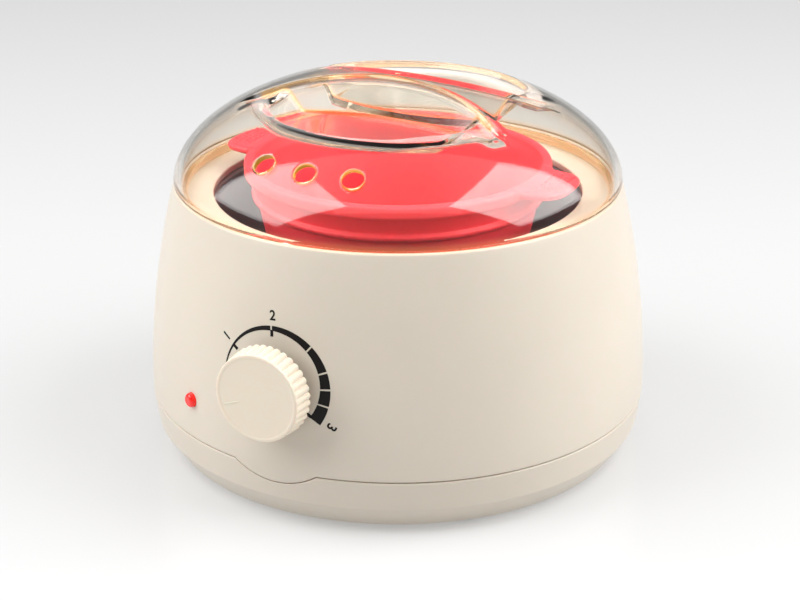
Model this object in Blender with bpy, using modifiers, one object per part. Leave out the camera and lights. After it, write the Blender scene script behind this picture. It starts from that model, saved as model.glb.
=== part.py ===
"""Wax warmer pot: a round electric pot with a lift-out silicone bowl, a clear domed lid and a turn knob.

Frame: metres, +Z up. The origin is the centre of the base's flat underside, and the knob faces -Y.
Azimuths are in degrees about +Z, counted from the front (-Y) towards the viewer's right (+X).
"""
import math

import bmesh
import bpy
from mathutils import Matrix, Vector

MM = 0.001
GAP = 0.3 * MM                     # clearance that touching pieces keep

# Outer body
BODY_R = 90.0 * MM                 # widest radius, at the line where housing and base meet
SEAM_Z = 19.2 * MM                 # height of that line
RIM_Z = 95.3 * MM                  # where the lid meets the housing
RIM_R = 79.6 * MM
WALL = 2.5 * MM
BODY_CURVE = 1.9                   # how late the wall leans in towards the rim
BODY_SIDES = 48

# Base cover
FOOT_RING_R = 82.9 * MM
FOOT_RING_EDGE_R = 88.5 * MM
FOOT_RING_EDGE_Z = 8.3 * MM
LIP_TOP_Z = 21.7 * MM
LIP_R = 87.1 * MM
LIP_WALL = 1.3 * MM
TONGUE_R = 27.0 * MM               # the housing dips into the base under the knob, on an arc
TONGUE_LOW_Z = 14.1 * MM
SCREW_RING_R = 76.5 * MM
SCREW_AZIMUTHS = (45, 135, 225, 315)
SCREW_SHANK_R = 1.2 * MM
SCREW_HEAD_R = 3.2 * MM
SCREW_HEAD_THICK = 2.2 * MM
HEAD_WELL_R = 3.7 * MM
PILOT_R = 1.5 * MM
BASE_POST_R = 5.4 * MM
HOUSING_POST_R = 4.2 * MM
HOUSING_POST_TOP_Z = 50.0 * MM
HEAD_SEAT_Z = 8.0 * MM
FOOT_RING = 62.0 * MM              # pitch radius of the rubber feet
FOOT_R = 6.5 * MM
FOOT_DROP = 1.5 * MM
SHIELD_POST_RING = 50.0 * MM
SHIELD_POST_AZIMUTHS = (60, 180, 300)
SHIELD_Z = 24.0 * MM
SHIELD_R = 57.0 * MM
SHIELD_THICK = 0.8 * MM
VENT_COUNT = 12
VENT_R = (32.0 * MM, 44.0 * MM)
VENT_WIDTH = 3.0 * MM
INLET_Z = 13.4 * MM
INLET_R = 4.3 * MM
GROMMET_FLANGE_R = 5.2 * MM
GROMMET_BORE_R = 3.0 * MM

# Deck and heating well
DECK_Z = 91.2 * MM
DECK_THICK = 2.4 * MM
DECK_OPENING_R = 65.4 * MM
RIM_INNER_R = 77.0 * MM
WELL_R = 64.5 * MM                 # inner radius
WELL_THICK = 1.2 * MM
WELL_FLANGE_R = 74.5 * MM
WELL_FLOOR_Z = 36.2 * MM           # top of the well's floor
WELL_CORNER_R = 9.0 * MM
WELL_SIDES = 40
WELL_SCREW_RING = 70.2 * MM
WELL_SCREW_AZIMUTHS = (90, 210, 330)
WELL_SCREW_R = 2.6 * MM            # the sleeve under the screw's washer
WELL_SCREW_SHANK_R = 0.95 * MM
WELL_WASHER_R = 4.0 * MM

# Heater
HEATER_Z = (42.0 * MM, 60.0 * MM)
HEATER_THICK = 2.5 * MM
STRAP_Z = (44.0 * MM, 58.0 * MM)
STRAP_THICK = 0.8 * MM
STRAP_GAP = 4.4 * MM
EAR_LENGTH = 7.5 * MM
CLAMP_BOLT_R = 1.5 * MM
CLAMP_HEAD_R = 3.0 * MM
CLAMP_HEAD_THICK = 2.2 * MM
CLAMP_NUT_THICK = 2.4 * MM
FUSE_Y = -20.0 * MM
FUSE_R = 2.0 * MM
FUSE_HALF = 7.4 * MM               # half the fuse's length
FUSE_CLIP_HALF = 8.0 * MM
FUSE_CLIP_THICK = 0.6 * MM

# Knob and thermostat
KNOB_Z = 48.9 * MM
KNOB_FACE_R = 15.3 * MM
KNOB_SKIRT_R = 16.7 * MM
KNOB_FACE_Y = 99.3 * MM            # distance of the face from the body's axis
KNOB_BACK_Y = 90.0 * MM
KNOB_RIBS = 36
KNOB_REST_ANGLE = -110             # where the pointer stands at rest, clockwise from the top
KNOB_BOSS_R = 5.2 * MM
KNOB_BOSS_Y = 93.0 * MM
KNOB_FACE_THICK = 1.8 * MM
RIB_GROOVE = (1.4 * MM, 1.1 * MM, 20.0 * MM)
POINTER_R = (8.5 * MM, 13.2 * MM)
POINTER_WIDTH = 1.0 * MM
POINTER_DEPTH = 0.5 * MM
SHAFT_R = 3.0 * MM
SHAFT_TIP_R = 1.5 * MM
SHAFT_SHOULDER_Y = 81.5 * MM
SHAFT_TIP_Y = 80.4 * MM
BUSHING_R = 4.6 * MM
BUSHING_FLANGE_R = 7.0 * MM
BUSHING_NUT_R = 7.2 * MM
BRACKET_Y = (-83.1 * MM, -82.1 * MM)
BRACKET_HALF = 8.0 * MM
STACK_Y = (-81.8 * MM, -72.6 * MM)
STACK_Z = (34.0 * MM, 42.0 * MM)
STACK_HALF = 5.0 * MM
BLADE_HALF = 2.5 * MM
BLADE_THICK = 0.5 * MM
BLADE_Z = (29.5 * MM, 57.0 * MM)
CONTACT_Z = 54.5 * MM
CONTACT_R = 1.5 * MM

# Indicator lamp
LAMP_AZIMUTH = -24.2
LAMP_Z = 33.3 * MM
LAMP_R = 2.5 * MM
LAMP_TIP_R = 91.4 * MM
LAMP_FLANGE_R = 2.9 * MM
LAMP_FLANGE = (80.6 * MM, 82.0 * MM)
LAMP_HOLDER_R = 4.2 * MM
LAMP_HOLDER = (82.3 * MM, 85.8 * MM)
RESISTOR_RING = 77.0 * MM
RESISTOR_R = 1.2 * MM

# Silicone bowl
BOWL_TOP_Z = 102.0 * MM
BOWL_RIM_R = 54.5 * MM
BOWL_COLLAR_Z = 97.4 * MM
BOWL_NECK_R = 51.8 * MM
BOWL_FOOT_R = 42.0 * MM
BOWL_CORNER_R = 8.0 * MM
BOWL_RIM_WIDTH = 3.5 * MM
BOWL_RIM_ROUND = 0.8 * MM
BOWL_THICK = 2.4 * MM
TAB_REACH = 66.7 * MM
TAB_WIDTH = 27.0 * MM
TAB_Z = (98.8 * MM, 101.4 * MM)
TAB_BEVEL = 6.5 * MM

# Lid
LID_TOP_Z = 132.6 * MM
LID_THICK = 2.3 * MM
LID_CURVE = (1.96, 0.52)
SKIRT_R = 76.6 * MM
SKIRT_WALL = 2.2 * MM
SKIRT_LOW_Z = 91.6 * MM
LID_SIDES = 48
GRIP_ARC_R = 79.1 * MM             # the grip ridge is left between two arc-sided recesses
GRIP_HALF = 4.3 * MM
RECESS_R = 48.3 * MM
RECESS_FLOOR_Z = 117.0 * MM
RECESS_FLARE = 4.0 * MM            # how much wider a recess is above the lid than at its floor
LID_VENT_R = 3.7 * MM
LID_VENT_RING = 65.7 * MM
LID_VENT_AZIMUTHS = (-14.6, 0, 14.7)

# Wiring
WIRE_R = 0.9 * MM
TERMINAL_SIZE = (26.0 * MM, 12.0 * MM, 12.0 * MM)
TERMINAL_Y = 66.0 * MM
TERMINAL_PITCH = 8.0 * MM
TERMINAL_BORE_R = 1.8 * MM
TERMINAL_SCREW_R = 2.2 * MM
WIRE_RING = 77.5 * MM              # radius of the runs beside the housing's wall

for old in list(bpy.data.objects):
    bpy.data.objects.remove(old, do_unlink=True)


def new_collection(name):
    collection = bpy.data.collections.new(name)
    bpy.context.scene.collection.children.link(collection)
    return collection


PARTS = new_collection("wax_warmer_pot")
CUTTERS = new_collection("cutters")


# ---------------------------------------------------------------- materials

def principled(name, color, roughness, metallic=0.0, alpha=1.0):
    material = bpy.data.materials.new(name)
    material.use_nodes = True
    shader = material.node_tree.nodes["Principled BSDF"]
    shader.inputs["Base Color"].default_value = (*color, 1.0)
    shader.inputs["Roughness"].default_value = roughness
    shader.inputs["Metallic"].default_value = metallic
    shader.inputs["Alpha"].default_value = alpha
    return material


IVORY = principled("ivory_plastic", (0.84, 0.78, 0.68), 0.35)
CLEAR = principled("clear_plastic", (0.96, 0.90, 0.78), 0.08, alpha=0.3)
CORAL = principled("coral_silicone", (0.85, 0.07, 0.10), 0.45)
ALUMINIUM = principled("anodised_aluminium", (0.35, 0.35, 0.37), 0.4, 0.9)
STEEL = principled("plated_steel", (0.62, 0.62, 0.60), 0.35, 1.0)
BRASS = principled("brass", (0.78, 0.60, 0.28), 0.3, 1.0)
CERAMIC = principled("ceramic", (0.86, 0.84, 0.78), 0.6)
MICA = principled("mica_sheet", (0.55, 0.47, 0.36), 0.6)
RED_LENS = principled("red_lens", (0.9, 0.02, 0.01), 0.15)
BLACK_RUBBER = principled("black_rubber", (0.03, 0.03, 0.03), 0.7)
WIRE_SLEEVE = principled("silicone_wire_sleeve", (0.75, 0.72, 0.66), 0.55)
RESISTOR_TAN = principled("resistor_tan", (0.66, 0.50, 0.32), 0.5)
GREY_PLASTIC = principled("grey_plastic", (0.45, 0.45, 0.46), 0.5)


# ---------------------------------------------------------------- modelling helpers

def around(azimuth, radius, height):
    """A point at an azimuth from the front, a radius from the body's axis and a height."""
    angle = math.radians(azimuth)
    return Vector((radius * math.sin(angle), -radius * math.cos(angle), height))


def arc(center, radius, start, end, steps):
    """Points of an arc in a turned profile; angles in degrees from +X towards +Z."""
    points = []
    for i in range(steps + 1):
        angle = math.radians(start + (end - start) * i / steps)
        points.append((center[0] + radius * math.cos(angle), center[1] + radius * math.sin(angle)))
    return points


def heights(top, bottom, steps):
    return [top + (bottom - top) * i / steps for i in range(steps + 1)]


def add_object(name, mesh, material):
    """Link a new part, or a hidden cutter when it has no material."""
    obj = bpy.data.objects.new(name, mesh)
    if material is None:
        CUTTERS.objects.link(obj)
        obj.hide_render = True
        obj.display_type = "WIRE"
    else:
        PARTS.objects.link(obj)
        mesh.materials.append(material)
    return obj


def smooth_by_angle(mesh):
    mesh.shade_smooth()
    mesh.set_sharp_from_angle(angle=math.radians(35))


def aim(obj, direction):
    obj.rotation_euler = Vector(direction).to_track_quat("Z", "Y").to_euler()


def turned(name, profile, material=None, sides=24, location=(0, 0, 0), direction=(0, 0, 1), closed=False):
    """A solid of revolution. The profile runs down its outer side; closed joins its two ends."""
    mesh = bpy.data.meshes.new(name)
    bm = bmesh.new()
    verts = [bm.verts.new((radius, 0.0, height)) for radius, height in profile]
    pairs = list(zip(verts, verts[1:]))
    if closed:
        pairs.append((verts[-1], verts[0]))
    for pair in pairs:
        bm.edges.new(pair)
    bm.to_mesh(mesh)
    bm.free()
    obj = add_object(name, mesh, material)
    obj.location = location
    aim(obj, direction)
    screw = obj.modifiers.new("Screw", "SCREW")
    screw.axis = "Z"
    screw.angle = math.tau
    screw.steps = sides
    screw.render_steps = sides
    screw.use_merge_vertices = True
    screw.merge_threshold = 0.00001
    screw.use_smooth_shade = True
    return obj


def ring(name, inner, outer, low, high, material=None, sides=24, location=(0, 0, 0), direction=(0, 0, 1)):
    profile = [(outer, high), (outer, low), (inner, low), (inner, high)]
    return turned(name, profile, material, sides, location, direction, closed=True)


def cylinder(name, start, end, radius, material=None, sides=16, end_radius=None):
    """A round bar from one point to another, tapered when it has an end radius."""
    start = Vector(start)
    end = Vector(end)
    mesh = bpy.data.meshes.new(name)
    bm = bmesh.new()
    bmesh.ops.create_cone(
        bm, cap_ends=True, segments=sides, radius1=radius,
        radius2=radius if end_radius is None else end_radius, depth=(end - start).length)
    bm.to_mesh(mesh)
    bm.free()
    smooth_by_angle(mesh)
    obj = add_object(name, mesh, material)
    obj.location = (start + end) / 2
    aim(obj, end - start)
    return obj


def box(name, low, high, material=None, turn=0.0, bevel=0.0):
    """A block between two corners, then turned about the body's axis by an azimuth."""
    low = Vector(low)
    high = Vector(high)
    mesh = bpy.data.meshes.new(name)
    bm = bmesh.new()
    bmesh.ops.create_cube(bm, size=1.0)
    bmesh.ops.scale(bm, vec=high - low, verts=bm.verts)
    bmesh.ops.translate(bm, vec=(low + high) / 2, verts=bm.verts)
    bm.to_mesh(mesh)
    bm.free()
    obj = add_object(name, mesh, material)
    obj.rotation_euler = (0, 0, math.radians(turn))
    if bevel:
        edge = obj.modifiers.new("Bevel", "BEVEL")
        edge.width = bevel
        edge.segments = 1
        edge.limit_method = "ANGLE"
    return obj


def boolean(target, other, operation):
    modifier = target.modifiers.new(operation.title(), "BOOLEAN")
    modifier.operation = operation
    modifier.solver = "EXACT"
    modifier.object = other
    return target


def cut(target, *others):
    for other in others:
        boolean(target, other, "DIFFERENCE")
    return target


def join(target, *others):
    for other in others:
        boolean(target, other, "UNION")
    return target


def smooth_route(points, per_span=4):
    """Points of a Catmull-Rom curve through a route's own points."""
    points = [Vector(p) for p in points]
    padded = [2 * points[0] - points[1], *points, 2 * points[-1] - points[-2]]
    route = []
    for a, b, c, d in zip(padded, padded[1:], padded[2:], padded[3:]):
        for i in range(per_span):
            t = i / per_span
            route.append(0.5 * (2 * b + (c - a) * t + (2 * a - 5 * b + 4 * c - d) * t ** 2
                                + (3 * b - a - 3 * c + d) * t ** 3))
    route.append(points[-1])
    return route


def wire(name, points, material=WIRE_SLEEVE, radius=WIRE_R, radii=None):
    """A round wire along a route; radii scale its thickness point by point."""
    curve = bpy.data.curves.new(name, "CURVE")
    curve.dimensions = "3D"
    curve.bevel_depth = radius
    curve.bevel_resolution = 2
    curve.use_fill_caps = True
    spline = curve.splines.new("POLY")
    spline.points.add(len(points) - 1)
    for i, point in enumerate(points):
        spline.points[i].co = (*point, 1.0)
        spline.points[i].radius = 1.0 if radii is None else radii[i]
    curve.materials.append(material)
    obj = bpy.data.objects.new(name, curve)
    PARTS.objects.link(obj)
    return obj


def hex_nut(name, start, end, radius, bore, material):
    nut = cylinder(name, start, end, radius, material, sides=6)
    margin = (Vector(end) - Vector(start)).normalized() * MM
    return cut(nut, cylinder(name + "_bore", Vector(start) - margin, Vector(end) + margin, bore))


# ---------------------------------------------------------------- outer shape

def body_radius(z):
    """Radius of the outside at a height, over the housing and the upright part of the base."""
    if z < SEAM_Z:
        share = (z - FOOT_RING_EDGE_Z) / (SEAM_Z - FOOT_RING_EDGE_Z)
        return FOOT_RING_EDGE_R + (BODY_R - FOOT_RING_EDGE_R) * share
    share = (z - SEAM_Z) / (RIM_Z - SEAM_Z)
    return BODY_R - (BODY_R - RIM_R) * share ** BODY_CURVE


def lid_height(radius, top, foot, reach):
    """Height of a dome that is upright at its foot and level at its top."""
    rise, bulge = LID_CURVE
    return foot + (top - foot) * (1 - (radius / reach) ** rise) ** bulge


def tongue_cutter(name, radius):
    """A round bar that crosses the front wall and gives the tongue its arc."""
    center_z = TONGUE_LOW_Z + TONGUE_R
    return cylinder(name, (0, -80 * MM, center_z), (0, -100 * MM, center_z), radius, sides=64)


# ---------------------------------------------------------------- housing

def make_housing():
    rim_top = RIM_Z - GAP / 2
    foot = TONGUE_LOW_Z + GAP / 2
    deck_low = DECK_Z - DECK_THICK
    outside = [(body_radius(z), z) for z in heights(rim_top, SEAM_Z, 6)]
    outside.append((body_radius(foot), foot))
    inside = [(body_radius(z) - WALL, z) for z in [foot, *heights(SEAM_Z, deck_low, 4)]]
    deck = [
        (DECK_OPENING_R, deck_low), (DECK_OPENING_R, DECK_Z),
        (RIM_INNER_R, DECK_Z), (RIM_INNER_R, rim_top),
    ]
    housing = turned("outer_housing", outside + inside + deck, IVORY, BODY_SIDES, closed=True)

    seam_top = SEAM_Z + GAP / 2
    reach = BODY_R + 20 * MM
    below = 5 * MM
    seam = turned("seam_cutter", [(0, seam_top), (reach, seam_top), (reach, below), (0, below)],
                  sides=BODY_SIDES)
    cut(seam, tongue_cutter("tongue_keeper", TONGUE_R - GAP))

    for i, azimuth in enumerate(SCREW_AZIMUTHS, 1):
        foot_z = LIP_TOP_Z + GAP
        post = cylinder(f"housing_post_{i}", around(azimuth, SCREW_RING_R, foot_z),
                        around(azimuth, SCREW_RING_R, HOUSING_POST_TOP_Z), HOUSING_POST_R)
        rib = box(f"housing_rib_{i}", (-1 * MM, WALL - BODY_R, foot_z),
                  (1 * MM, -SCREW_RING_R, HOUSING_POST_TOP_Z - 2 * MM), turn=azimuth)
        pilot = cylinder(f"housing_pilot_{i}", around(azimuth, SCREW_RING_R, foot_z - MM),
                         around(azimuth, SCREW_RING_R, 38 * MM), PILOT_R, sides=12)
        join(housing, post, rib)
        cut(housing, pilot)
    for i, azimuth in enumerate(WELL_SCREW_AZIMUTHS, 1):
        stud = cylinder(f"deck_stud_{i}", around(azimuth, WELL_SCREW_RING, deck_low - 1.2 * MM),
                        around(azimuth, WELL_SCREW_RING, deck_low + MM), WELL_SCREW_R)
        pilot = cylinder(f"deck_pilot_{i}", around(azimuth, WELL_SCREW_RING, deck_low - 2 * MM),
                         around(azimuth, WELL_SCREW_RING, DECK_Z - 0.8 * MM), 1.3 * MM, sides=12)
        join(housing, stud)
        cut(housing, pilot)

    bushing_hole = cylinder("bushing_hole", (0, -80 * MM, KNOB_Z), (0, -95 * MM, KNOB_Z),
                            BUSHING_R + GAP, sides=24)
    lamp_hole = cylinder("lamp_hole", around(LAMP_AZIMUTH, 82 * MM, LAMP_Z),
                         around(LAMP_AZIMUTH, 95 * MM, LAMP_Z), LAMP_R + GAP)
    cut(housing, bushing_hole, lamp_hole, seam)


# ---------------------------------------------------------------- base

def make_base():
    top = SEAM_Z - GAP / 2
    floor = WALL
    profile = [
        (0, LIP_TOP_Z), (LIP_R, LIP_TOP_Z), (LIP_R, top), (body_radius(top), top),
        (FOOT_RING_EDGE_R, FOOT_RING_EDGE_Z), (FOOT_RING_R, 0), (0, 0),
    ]
    base = turned("base_cover", profile, IVORY, BODY_SIDES)
    hollow_profile = [
        (0, LIP_TOP_Z + MM), (LIP_R - LIP_WALL, LIP_TOP_Z + MM), (LIP_R - LIP_WALL, FOOT_RING_EDGE_Z + MM),
        (FOOT_RING_R - 0.6 * MM, floor), (0, floor),
    ]
    cut(base, turned("base_hollow", hollow_profile, sides=BODY_SIDES))

    for i, azimuth in enumerate(SCREW_AZIMUTHS, 1):
        post = cylinder(f"base_post_{i}", around(azimuth, SCREW_RING_R, MM),
                        around(azimuth, SCREW_RING_R, LIP_TOP_Z), BASE_POST_R, sides=14)
        head_well = cylinder(f"head_well_{i}", around(azimuth, SCREW_RING_R, -MM),
                             around(azimuth, SCREW_RING_R, HEAD_SEAT_Z), HEAD_WELL_R)
        through = cylinder(f"screw_hole_{i}", around(azimuth, SCREW_RING_R, HEAD_SEAT_Z - MM),
                           around(azimuth, SCREW_RING_R, LIP_TOP_Z + MM), 1.7 * MM, sides=12)
        seat = cylinder(f"foot_seat_{i}", around(azimuth, FOOT_RING, -MM),
                        around(azimuth, FOOT_RING, 1.4 * MM), FOOT_R + GAP, sides=20)
        join(base, post)
        cut(base, head_well, through, seat)
    for i, azimuth in enumerate(SHIELD_POST_AZIMUTHS, 1):
        post = cylinder(f"shield_post_{i}", around(azimuth, SHIELD_POST_RING, MM),
                        around(azimuth, SHIELD_POST_RING, SHIELD_Z - GAP), 3 * MM, sides=12)
        pin = cylinder(f"shield_pin_{i}", around(azimuth, SHIELD_POST_RING, 20 * MM),
                       around(azimuth, SHIELD_POST_RING, SHIELD_Z + 2.5 * MM), 1.2 * MM, sides=12)
        join(base, post, pin)
    for i in range(VENT_COUNT):
        vent = box(f"vent_cutter_{i + 1}", (-VENT_WIDTH / 2, -VENT_R[1], -MM),
                   (VENT_WIDTH / 2, -VENT_R[0], WALL + 1.5 * MM), turn=(i + 0.5) * 360 / VENT_COUNT)
        cut(base, vent)
    inlet = cylinder("inlet_cutter", (0, 80 * MM, INLET_Z), (0, 95 * MM, INLET_Z), INLET_R, sides=20)
    cut(base, tongue_cutter("tongue_notch", TONGUE_R), inlet)


def make_base_hardware():
    foot_top = 1.1 * MM
    foot_round = 0.6 * MM
    head_top = HEAD_SEAT_Z - GAP
    head_low = head_top - SCREW_HEAD_THICK
    head_round = 0.8 * MM
    for i, azimuth in enumerate(SCREW_AZIMUTHS, 1):
        turned(f"foot_{i}", [
            (0, foot_top), (FOOT_R, foot_top), (FOOT_R, foot_round - FOOT_DROP),
            (FOOT_R - foot_round, -FOOT_DROP), (0, -FOOT_DROP)],
            BLACK_RUBBER, 16, location=around(azimuth, FOOT_RING, 0))
        center = around(azimuth, SCREW_RING_R, 0)
        screw = turned(f"base_screw_{i}", [
            (0, 36 * MM), (0.5 * MM, 35.4 * MM), (SCREW_SHANK_R, 33 * MM), (SCREW_SHANK_R, head_top),
            (SCREW_HEAD_R, head_top), (SCREW_HEAD_R, head_low + head_round),
            (SCREW_HEAD_R - head_round, head_low), (0, head_low)],
            STEEL, 12, location=center)
        for k, (half_x, half_y) in enumerate(((2.0, 0.35), (0.35, 2.0))):
            slot = box(f"drive_slot_{i}_{k}", (-half_x * MM, -half_y * MM, head_top - 4 * MM),
                       (half_x * MM, half_y * MM, head_top - 1.2 * MM))
            slot.location = center
            cut(screw, slot)

    y_in = 82.4 * MM
    y_wall_in = 84.6 * MM
    y_wall_out = 90.4 * MM
    y_out = 92.0 * MM
    neck_r = INLET_R - GAP
    turned("cord_grommet", [
        (GROMMET_FLANGE_R - 0.5 * MM, y_out), (GROMMET_FLANGE_R, y_out - 0.5 * MM),
        (GROMMET_FLANGE_R, y_wall_out), (neck_r, y_wall_out), (neck_r, y_wall_in),
        (GROMMET_FLANGE_R, y_wall_in), (GROMMET_FLANGE_R - 0.6 * MM, y_in),
        (GROMMET_BORE_R, y_in), (GROMMET_BORE_R, y_out)],
        BLACK_RUBBER, 20, location=(0, 0, INLET_Z), direction=(0, 1, 0), closed=True)

    shield_top = SHIELD_Z + SHIELD_THICK
    shield_rim = SHIELD_Z + 2.2 * MM
    shield = turned("heat_shield", [
        (0, shield_top), (SHIELD_R - 2 * MM, shield_top), (SHIELD_R - MM, shield_rim),
        (SHIELD_R, shield_rim), (SHIELD_R - MM, SHIELD_Z), (0, SHIELD_Z)], STEEL, WELL_SIDES)
    for i, azimuth in enumerate(SHIELD_POST_AZIMUTHS, 1):
        cut(shield, cylinder(f"shield_hole_{i}", around(azimuth, SHIELD_POST_RING, SHIELD_Z - MM),
                             around(azimuth, SHIELD_POST_RING, SHIELD_Z + 2 * MM), 1.6 * MM, sides=12))

    width, depth, height = TERMINAL_SIZE
    low_z = WALL + GAP
    block = box("terminal_block", (-width / 2, TERMINAL_Y - depth / 2, low_z),
                (width / 2, TERMINAL_Y + depth / 2, low_z + height), GREY_PLASTIC, bevel=0.8 * MM)
    bore_z = 8 * MM
    for k in (-1, 0, 1):
        x = k * TERMINAL_PITCH
        cut(block, cylinder(f"terminal_bore_{k + 2}", (x, TERMINAL_Y - depth, bore_z),
                            (x, TERMINAL_Y + depth, bore_z), TERMINAL_BORE_R, sides=12),
            cylinder(f"terminal_screw_well_{k + 2}", (x, TERMINAL_Y, bore_z + MM),
                     (x, TERMINAL_Y, bore_z + height), TERMINAL_SCREW_R, sides=12))


# ---------------------------------------------------------------- well and heater

def make_well():
    top = DECK_Z - DECK_THICK - GAP
    outer = WELL_R + WELL_THICK
    floor_low = WELL_FLOOR_Z - WELL_THICK
    corner_out = WELL_CORNER_R + WELL_THICK
    outside = [(0, top), (WELL_FLANGE_R, top), (WELL_FLANGE_R, top - WELL_THICK), (outer, top - WELL_THICK)]
    outside += arc((WELL_R - WELL_CORNER_R, floor_low + corner_out), corner_out, 0, -90, 4)
    well = turned("heating_well", [*outside, (0, floor_low)], ALUMINIUM, WELL_SIDES)
    inside = arc((WELL_R - WELL_CORNER_R, WELL_FLOOR_Z + WELL_CORNER_R), WELL_CORNER_R, 0, -90, 4)
    cut(well, turned("well_hollow", [(0, top + MM), (WELL_R, top + MM), *inside, (0, WELL_FLOOR_Z)],
                     sides=WELL_SIDES))
    for i, azimuth in enumerate(WELL_SCREW_AZIMUTHS, 1):
        hole = cylinder(f"flange_hole_{i}", around(azimuth, WELL_SCREW_RING, top - 3 * MM),
                        around(azimuth, WELL_SCREW_RING, top + MM), WELL_SCREW_R + GAP)
        cut(well, hole)
        washer_top = top - WELL_THICK - GAP
        washer_low = washer_top - 0.8 * MM
        head_low = washer_top - 2.2 * MM
        shank_top = washer_top + 3 * MM
        turned(f"well_screw_{i}", [
            (0, shank_top), (WELL_SCREW_SHANK_R, shank_top), (WELL_SCREW_SHANK_R, washer_top),
            (WELL_WASHER_R, washer_top), (WELL_WASHER_R, washer_low), (WELL_SCREW_R, washer_low),
            (WELL_SCREW_R, head_low), (0, head_low)],
            STEEL, 12, location=around(azimuth, WELL_SCREW_RING, 0))


def make_heater():
    well_out = WELL_R + WELL_THICK
    heater_in = well_out + GAP
    heater_out = heater_in + HEATER_THICK
    heater = ring("heater_band", heater_in, heater_out, *HEATER_Z, MICA, WELL_SIDES)
    gap_half = STRAP_GAP / 2
    cut_y = (60 * MM, 75 * MM)
    cut_z = (HEATER_Z[0] - 10 * MM, HEATER_Z[1] + 10 * MM)
    cut(heater, box("heater_gap", (-gap_half - MM, cut_y[0], cut_z[0]), (gap_half + MM, cut_y[1], cut_z[1])))

    strap_in = heater_out + GAP
    strap_out = strap_in + STRAP_THICK
    strap = ring("heater_clamp_band", strap_in, strap_out, *STRAP_Z, STEEL, WELL_SIDES)
    cut(strap, box("strap_gap", (-gap_half, cut_y[0], cut_z[0]), (gap_half, cut_y[1], cut_z[1])))
    middle_z = sum(STRAP_Z) / 2
    bolt_y = strap_out + EAR_LENGTH / 2
    ear_y = (strap_in + 0.2 * MM, strap_out + EAR_LENGTH)
    ear_z = (STRAP_Z[0] + 2 * MM, STRAP_Z[1] - 2 * MM)
    for name, side in (("left", -1), ("right", 1)):
        x = sorted((side * gap_half, side * (gap_half + STRAP_THICK)))
        join(strap, box(f"strap_ear_{name}", (x[0], ear_y[0], ear_z[0]), (x[1], ear_y[1], ear_z[1])))
    cut(strap, cylinder("ear_hole", (-10 * MM, bolt_y, middle_z), (10 * MM, bolt_y, middle_z),
                        CLAMP_BOLT_R + GAP, sides=12))

    seat_x = gap_half + STRAP_THICK + GAP
    bolt = cylinder("clamp_bolt", (-8 * MM, bolt_y, middle_z), (seat_x + MM, bolt_y, middle_z),
                    CLAMP_BOLT_R, STEEL, sides=12)
    head_end = (seat_x + CLAMP_HEAD_THICK, bolt_y, middle_z)
    join(bolt, cylinder("clamp_bolt_head", (seat_x, bolt_y, middle_z), head_end, CLAMP_HEAD_R, sides=6))
    hex_nut("clamp_nut", (-seat_x - CLAMP_NUT_THICK, bolt_y, middle_z), (-seat_x, bolt_y, middle_z),
            CLAMP_HEAD_R, CLAMP_BOLT_R + GAP, STEEL)


def make_fuse():
    center_z = WELL_FLOOR_Z - WELL_THICK - 3.2 * MM
    neck_r = 1.1 * MM
    shoulder = FUSE_HALF - MM
    turned("thermal_fuse", [
        (0, FUSE_HALF), (neck_r, FUSE_HALF), (FUSE_R, shoulder),
        (FUSE_R, -shoulder), (neck_r, -FUSE_HALF), (0, -FUSE_HALF)],
        CERAMIC, 12, location=(0, FUSE_Y, center_z), direction=(1, 0, 0))

    clip_top = WELL_FLOOR_Z - WELL_THICK - GAP
    clip_width = 2.5 * MM
    clip = box("fuse_clip", (-clip_width, FUSE_Y - FUSE_CLIP_HALF, clip_top - FUSE_CLIP_THICK),
               (clip_width, FUSE_Y + FUSE_CLIP_HALF, clip_top), STEEL)
    bore_r = FUSE_R + GAP
    past = clip_width + 1.5 * MM
    join(clip, cylinder("clip_hoop", (-clip_width, FUSE_Y, center_z), (clip_width, FUSE_Y, center_z),
                        bore_r + FUSE_CLIP_THICK))
    cut(clip, cylinder("clip_bore", (-past, FUSE_Y, center_z), (past, FUSE_Y, center_z), bore_r),
        box("clip_trim", (-past, FUSE_Y - 4 * MM, clip_top), (past, FUSE_Y + 4 * MM, clip_top + 3 * MM)))


# ---------------------------------------------------------------- knob and thermostat

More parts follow.
